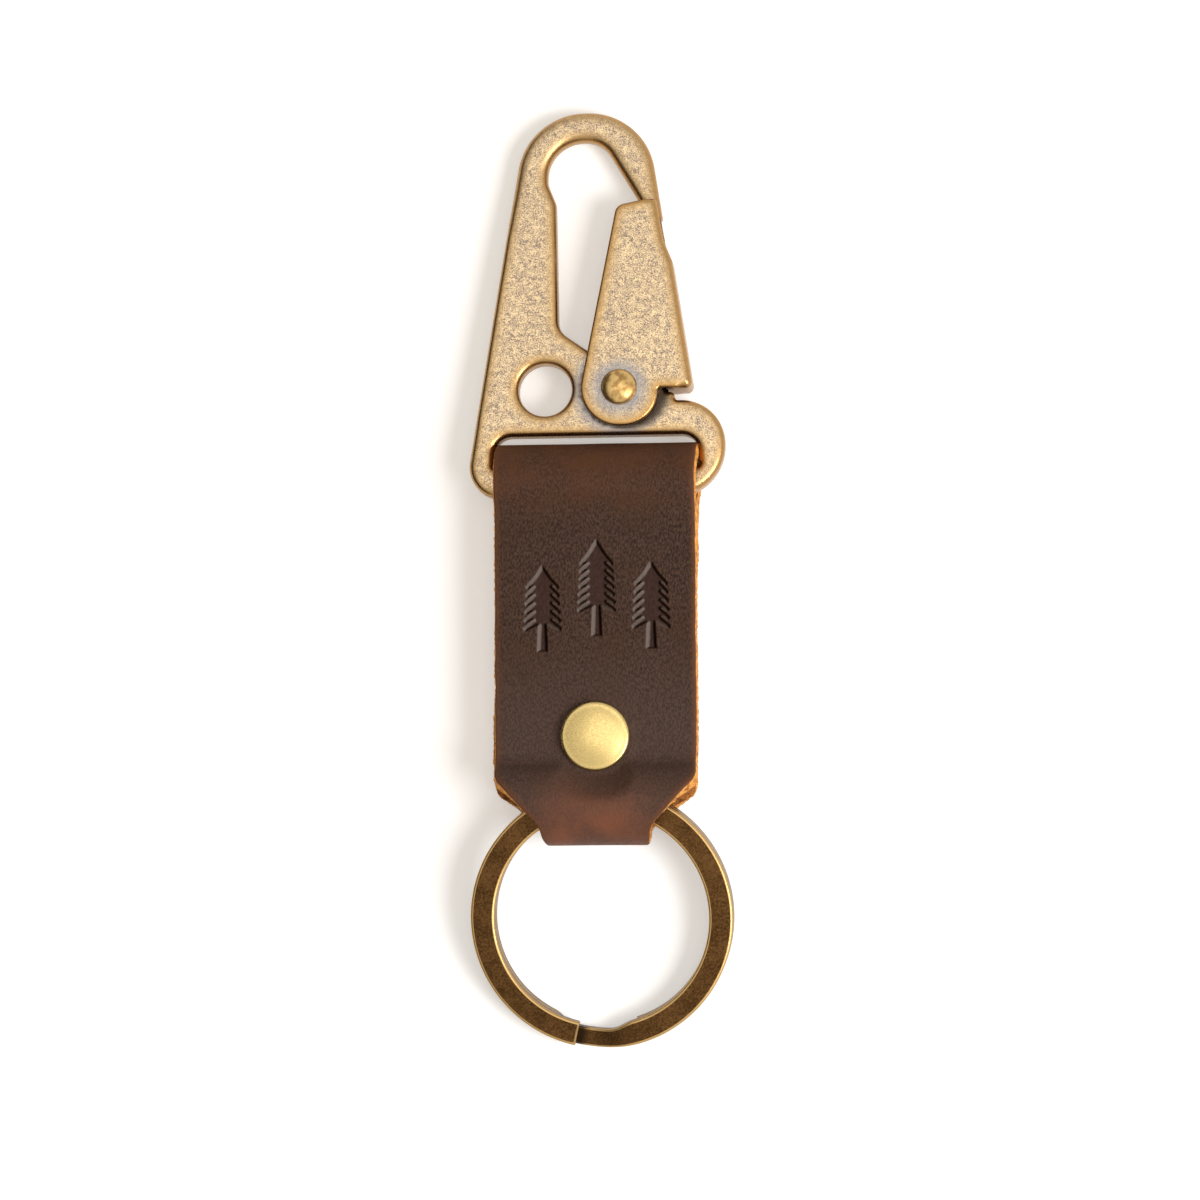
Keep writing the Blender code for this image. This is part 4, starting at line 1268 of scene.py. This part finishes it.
def antique_brass():
    """Tumbled antique brass: fine gold and grey-mauve specks, with painted reflection and shade along
    the rounded edges and the walls, and painted shade round the gate's lobe.
    """
    look = Look("antique_brass", 1.0)
    speck = look.noise(6800.0, 2.0, 0.65)
    field = look.blend(speck, look.noise(1500.0, 4.0, 0.65), 0.68)
    look.specks(field, 0.37, 0.63, (0.19, 0.144, 0.122), (0.81, 0.595, 0.335))
    depth = look.stored("depth")
    edge = look.span(depth, 0.0002, 0.0008, 1.0, 0.0)
    # painted reflection and shade along the rounded edges and the walls: an orange-brown band, then a
    # darker brown rim
    look.lay(look.span(depth, 0.0004, 0.0018, 0.62, 0.0), (0.46, 0.27, 0.09))
    look.lay(edge, (0.36, 0.185, 0.05), 0.7)
    look.lay(look.stored("haze"), (0.25, 0.25, 0.265), 0.75)
    # painted shade, with some grime, on the casting round the gate's lobe
    look.lay(look.stored("grime"), (0.03, 0.018, 0.008), 0.92)
    look.bump(speck, 0.35, 0.00006)
    polish = look.math("MULTIPLY", edge, 0.14)
    rough = look.math("SUBTRACT", look.span(field, 0.34, 0.66, 0.46, 0.34), polish)
    return look.finish(Roughness=rough)


def ring_brass():
    """Dark olive-brown bronze: edges bright with wear and painted highlight, and painted shade in the
    gap under the upper turn's end.
    """
    look = Look("ring_brass", 1.0)
    speck = look.noise(4200.0, 3.0, 0.62)
    field = look.blend(speck, look.noise(420.0, 4.0, 0.6), 0.66)
    look.specks(field, 0.34, 0.66, (0.046, 0.021, 0.006), (0.125, 0.060, 0.020))
    # bright brass on the edges, the end and the jog: worn metal and painted highlight
    look.lay(look.span(look.stored("depth"), 0.0, 0.0012, 0.85, 0.0), (0.54, 0.34, 0.13))
    # painted shade in the gap under the upper turn's end
    look.lay(look.stored("grime"), (0.015, 0.008, 0.004), 0.9)
    look.bump(speck, 0.15, 0.00006)
    return look.finish(Roughness=look.span(field, 0.35, 0.65, 0.30, 0.46))


def rivet_brass():
    """Satin yellow brass with a fine speckle and a few dark pits."""
    look = Look("rivet_brass", 1.0)
    speck = look.noise(4200.0, 2.0, 0.6)
    look.specks(speck, 0.30, 0.70, (0.55, 0.40, 0.15), (0.68, 0.50, 0.20))
    cells = look.node("TexVoronoi", [("Vector", look.place), ("Scale", 900.0)])
    pit = look.span(cells.outputs["Distance"], 0.0, 0.10, 1.0, 0.0)
    look.lay(pit, (0.20, 0.13, 0.05), 0.5)
    look.bump(speck, 0.12, 0.00005)
    return look.finish(Roughness=look.span(speck, 0.35, 0.65, 0.36, 0.26))


def pin_brass():
    """Yellow brass, polished by handling, with brown tarnish patches."""
    look = Look("pin_brass", 1.0)
    cloud = look.noise(900.0, 4.0, 0.6)
    look.specks(cloud, 0.36, 0.62, (0.34, 0.19, 0.065), (0.68, 0.45, 0.17))
    look.bump(look.noise(3800.0, 2.0, 0.6), 0.15, 0.00005)
    return look.finish(Roughness=look.span(cloud, 0.35, 0.65, 0.38, 0.28))


def spring_steel():
    """Drawn wire with a faint grey mottle."""
    look = Look("spring_steel", 1.0)
    mottle = look.noise(1500.0, 3.0, 0.5)
    look.specks(mottle, 0.35, 0.65, (0.36, 0.35, 0.34), (0.58, 0.57, 0.55))
    look.bump(mottle, 0.1, 0.00005)
    return look.finish(Roughness=look.span(mottle, 0.35, 0.65, 0.38, 0.24))


# Where the leather's colour changes, in metres
LIGHTER_END_Y = -0.006
PULL_REACH = 0.0065
LOOP_PULL_HALF = (0.0035, 0.0085)


def leather_grain():
    """Oiled dark leather: fine upright pebble, red-brown where a bend pulls the colour up; the
    pressed trees' walls get painted highlight on one side and painted shade on the other.
    """
    look = Look("leather_grain", 0.0)
    pebble = look.noise(4600.0, 3.0, 0.65, (1.0, 0.5, 1.0))
    cloud = look.noise(160.0, 4.0, 0.6)
    along, across = look.stored("along"), look.stored("across")
    lit, burnt = look.stored("lit"), look.stored("burnt")
    worn = look.span(cloud, 0.30, 0.65, 0.35, 1.0)
    look.specks(pebble, 0.36, 0.64, (0.023, 0.0115, 0.0075), (0.080, 0.041, 0.026))
    look.lay(look.span(cloud, 0.42, 0.66, 0.0, 0.35), (0.052, 0.023, 0.010))
    # the front is lighter and greyer at the rivet, fading out along the front away from it
    lighter_front = look.span(along, front_distance(RIVET_Y), front_distance(LIGHTER_END_Y), 0.30, 0.0)
    look.lay(lighter_front, (0.105, 0.068, 0.056))
    pull = look.span(along, front_distance(HOOK_AXIS_Y - PULL_REACH), FOLD_TOP)
    look.lay(look.math("MULTIPLY", pull, worn), (0.110, 0.042, 0.018))
    below_rivet, loop_end = front_distance(RIVET_Y - CAP_RADIUS), FAR_POINT + LOOP_RADIUS * 0.6
    loop = look.span(along, below_rivet, loop_end, 0.0, 0.95)
    loop = look.math("MULTIPLY", loop, look.span(across, *LOOP_PULL_HALF, 1.0, 0.15))
    look.lay(look.math("MULTIPLY", loop, worn), (0.215, 0.078, 0.040))
    look.lay(look.stored("pressed"), (0.034, 0.013, 0.010), 0.7)
    # painted highlight and painted shade on the trees' walls
    look.lay(lit, (0.225, 0.185, 0.162), 0.8)
    look.lay(burnt, (0.006, 0.003, 0.002), 0.9)
    look.lay(look.span(look.stored("depth"), 0.0, 0.0009, 0.7, 0.0), (0.14, 0.052, 0.020))
    look.bump(pebble, 0.75, 0.00009)
    look.bump(look.noise(700.0, 4.0, 0.6), 0.20, 0.0002)
    polish = look.math("MULTIPLY", look.stored("wall"), 0.26)
    rough = look.math("SUBTRACT", look.span(pebble, 0.3, 0.7, 0.66, 0.48), polish)
    gloss = look.span(lit, 0.0, 1.0, 0.13, 0.5)
    gloss = look.math("MULTIPLY", gloss, look.span(burnt, 0.0, 0.6, 1.0, 0.0))
    return look.finish(Roughness=rough, Specular_IOR_Level=gloss)


def leather_flesh():
    """Suede back of the leather: brown, matt and fibrous."""
    look = Look("leather_flesh", 0.0, 0.92)
    nap = look.noise(1500.0, 5.0, 0.75)
    look.specks(nap, 0.35, 0.65, (0.15, 0.045, 0.009), (0.64, 0.24, 0.045))
    look.bump(nap, 0.9, 0.0004)
    return look.finish()


def leather_edge():
    """Raw cut edge: bright orange core with brown fibres, darker towards the grain."""
    look = Look("leather_edge", 0.0, 0.85)
    fibre = look.noise(1500.0, 5.0, 0.7)
    look.specks(fibre, 0.34, 0.60, (0.32, 0.105, 0.020), (0.95, 0.42, 0.075))
    look.lay(look.span(look.stored("depth"), -0.07, 0.0), (0.22, 0.08, 0.025), 0.3)
    look.bump(fibre, 0.8, 0.0002)
    return look.finish()


# Studio: camera, floor, card and surroundings
VIEW_POINT = Vector((0.0001, -0.00326, 0.0060))
VIEW_TILT = radians(5.5)
VIEW_PITCH = radians(4.8)
VIEW_ROLL = radians(-0.78)
VIEW_DISTANCE = 0.5
FRAME_WIDTH = 0.1473
FLOOR_HALF = 1.5
FLOOR_LEVEL = -0.00002
FLOOR_WHITE = (0.86, 0.86, 0.86)
FLOOR_TINT = (1.0, 0.98, 0.945)
FLOOR_LIGHT = 0.38
CARD_X = -0.30
CARD_HALF = 0.60
CARD_HIGH = 0.29
CARD_BLACK = (0.01, 0.01, 0.01)
WORLD_LIGHT = (0.38, 0.34, 0.285)


def seen_or_mirrored(tree):
    """Output that is 1 for rays from the camera and by way of metal or glass, and 0 for others."""
    path = tree.nodes.new("ShaderNodeLightPath")
    seen = path.outputs["Is Camera Ray"]
    for ray in ("Is Glossy Ray", "Is Transmission Ray"):
        most = tree.nodes.new("ShaderNodeMath")
        most.operation = "MAXIMUM"
        tree.links.new(seen, most.inputs[0])
        tree.links.new(path.outputs[ray], most.inputs[1])
        seen = most.outputs[0]
    return seen


def stage_plane(name, corners, look):
    """Flat staging piece with a matt look."""
    item = add(name, new_mesh(name, corners, [(0, 1, 2, 3)]))
    item.data.materials.append(look)
    return item


def build_floor():
    """Plain white floor; it keeps the shadow, and its own light is only seen or mirrored."""
    look = Look("floor_white", 0.0, 0.9)
    light = look.math("MULTIPLY", seen_or_mirrored(look.tree), FLOOR_LIGHT)
    look.finish(
        Base_Color=FLOOR_WHITE, Specular_IOR_Level=0.0,
        Emission_Color=FLOOR_TINT, Emission_Strength=light,
    )
    sides = ((-1, -1), (1, -1), (1, 1), (-1, 1))
    corners = [(x * FLOOR_HALF, y * FLOOR_HALF, FLOOR_LEVEL) for x, y in sides]
    stage_plane("floor", corners, look.material)


def build_card():
    """Black card beside the table, which only the metal's reflections show."""
    look = Look("card_black", 0.0, 0.9)
    look.finish(Base_Color=CARD_BLACK, Specular_IOR_Level=0.0)
    low = [(CARD_X, -CARD_HALF, 0.0), (CARD_X, CARD_HALF, 0.0)]
    high = [(CARD_X, CARD_HALF, CARD_HIGH), (CARD_X, -CARD_HALF, CARD_HIGH)]
    card = stage_plane("black_card", low + high, look.material)
    card.visible_camera = False
    card.visible_diffuse = False
    card.visible_shadow = False


def lamp(name, place, size, watts, colour=(1.0, 1.0, 1.0)):
    """Square soft lamp aimed at the middle of the keychain."""
    data = bpy.data.lights.new(name, "AREA")
    data.shape = "SQUARE"
    data.size = size
    data.energy = watts
    data.color = colour
    item = add(name, data)
    item.location = place
    item.rotation_euler = (VIEW_POINT - Vector(place)).to_track_quat("-Z", "Y").to_euler()


def build_world():
    """Plain surroundings: a warm dim fill for matt surfaces, white for the camera and mirrors."""
    world = bpy.data.worlds.new("studio")
    world.use_nodes = True
    tree = world.node_tree
    tint = tree.nodes.new("ShaderNodeMix")
    tint.data_type = "RGBA"
    tree.links.new(seen_or_mirrored(tree), tint.inputs[0])
    tint.inputs[6].default_value = (*WORLD_LIGHT, 1.0)
    tint.inputs[7].default_value = (1.0, 1.0, 1.0, 1.0)
    tree.links.new(tint.outputs[2], tree.nodes["Background"].inputs["Color"])
    bpy.context.scene.world = world


def build_camera():
    """Camera a little to the right of straight above and towards the ring, as in the photograph."""
    data = bpy.data.cameras.new("camera")
    data.sensor_width = 36.0
    data.lens = data.sensor_width * VIEW_DISTANCE / FRAME_WIDTH
    data.clip_start = 0.01
    data.clip_end = 10.0
    camera = add("camera", data)
    turn = Matrix.Rotation(VIEW_PITCH, 3, "X") @ Matrix.Rotation(VIEW_TILT, 3, "Y")
    turn = turn @ Matrix.Rotation(VIEW_ROLL, 3, "Z")
    camera.location = VIEW_POINT + turn @ Vector((0.0, 0.0, VIEW_DISTANCE))
    camera.rotation_euler = turn.to_euler()
    bpy.context.scene.camera = camera


def give_look(look, names):
    """Give nodes that come from the solids as they are a procedural material."""
    for name in names:
        mesh = frame["nodes"][name].data
        mesh.materials.clear()
        mesh.materials.append(look)


def main():
    """Build the pieces, then the floor, the light and the camera."""
    bpy.context.scene.view_settings.view_transform = "Standard"
    brass = antique_brass()
    rivet = rivet_brass()
    build_hook(brass)
    build_gate(brass)
    build_pin(pin_brass())
    build_rivet(rivet)
    give_look(rivet, ("rivet_front_socket", "rivet_post"))
    build_spring(spring_steel())
    build_ring(ring_brass())
    build_strap(leather_grain(), leather_flesh(), leather_edge())
    build_floor()
    build_world()
    build_card()
    lamp("key", (0.42, -0.18, 0.50), 0.30, 3.6, (1.0, 0.99, 1.0))
    lamp("top", (0.05, 0.10, 0.95), 0.60, 1.2)
    build_camera()


main()
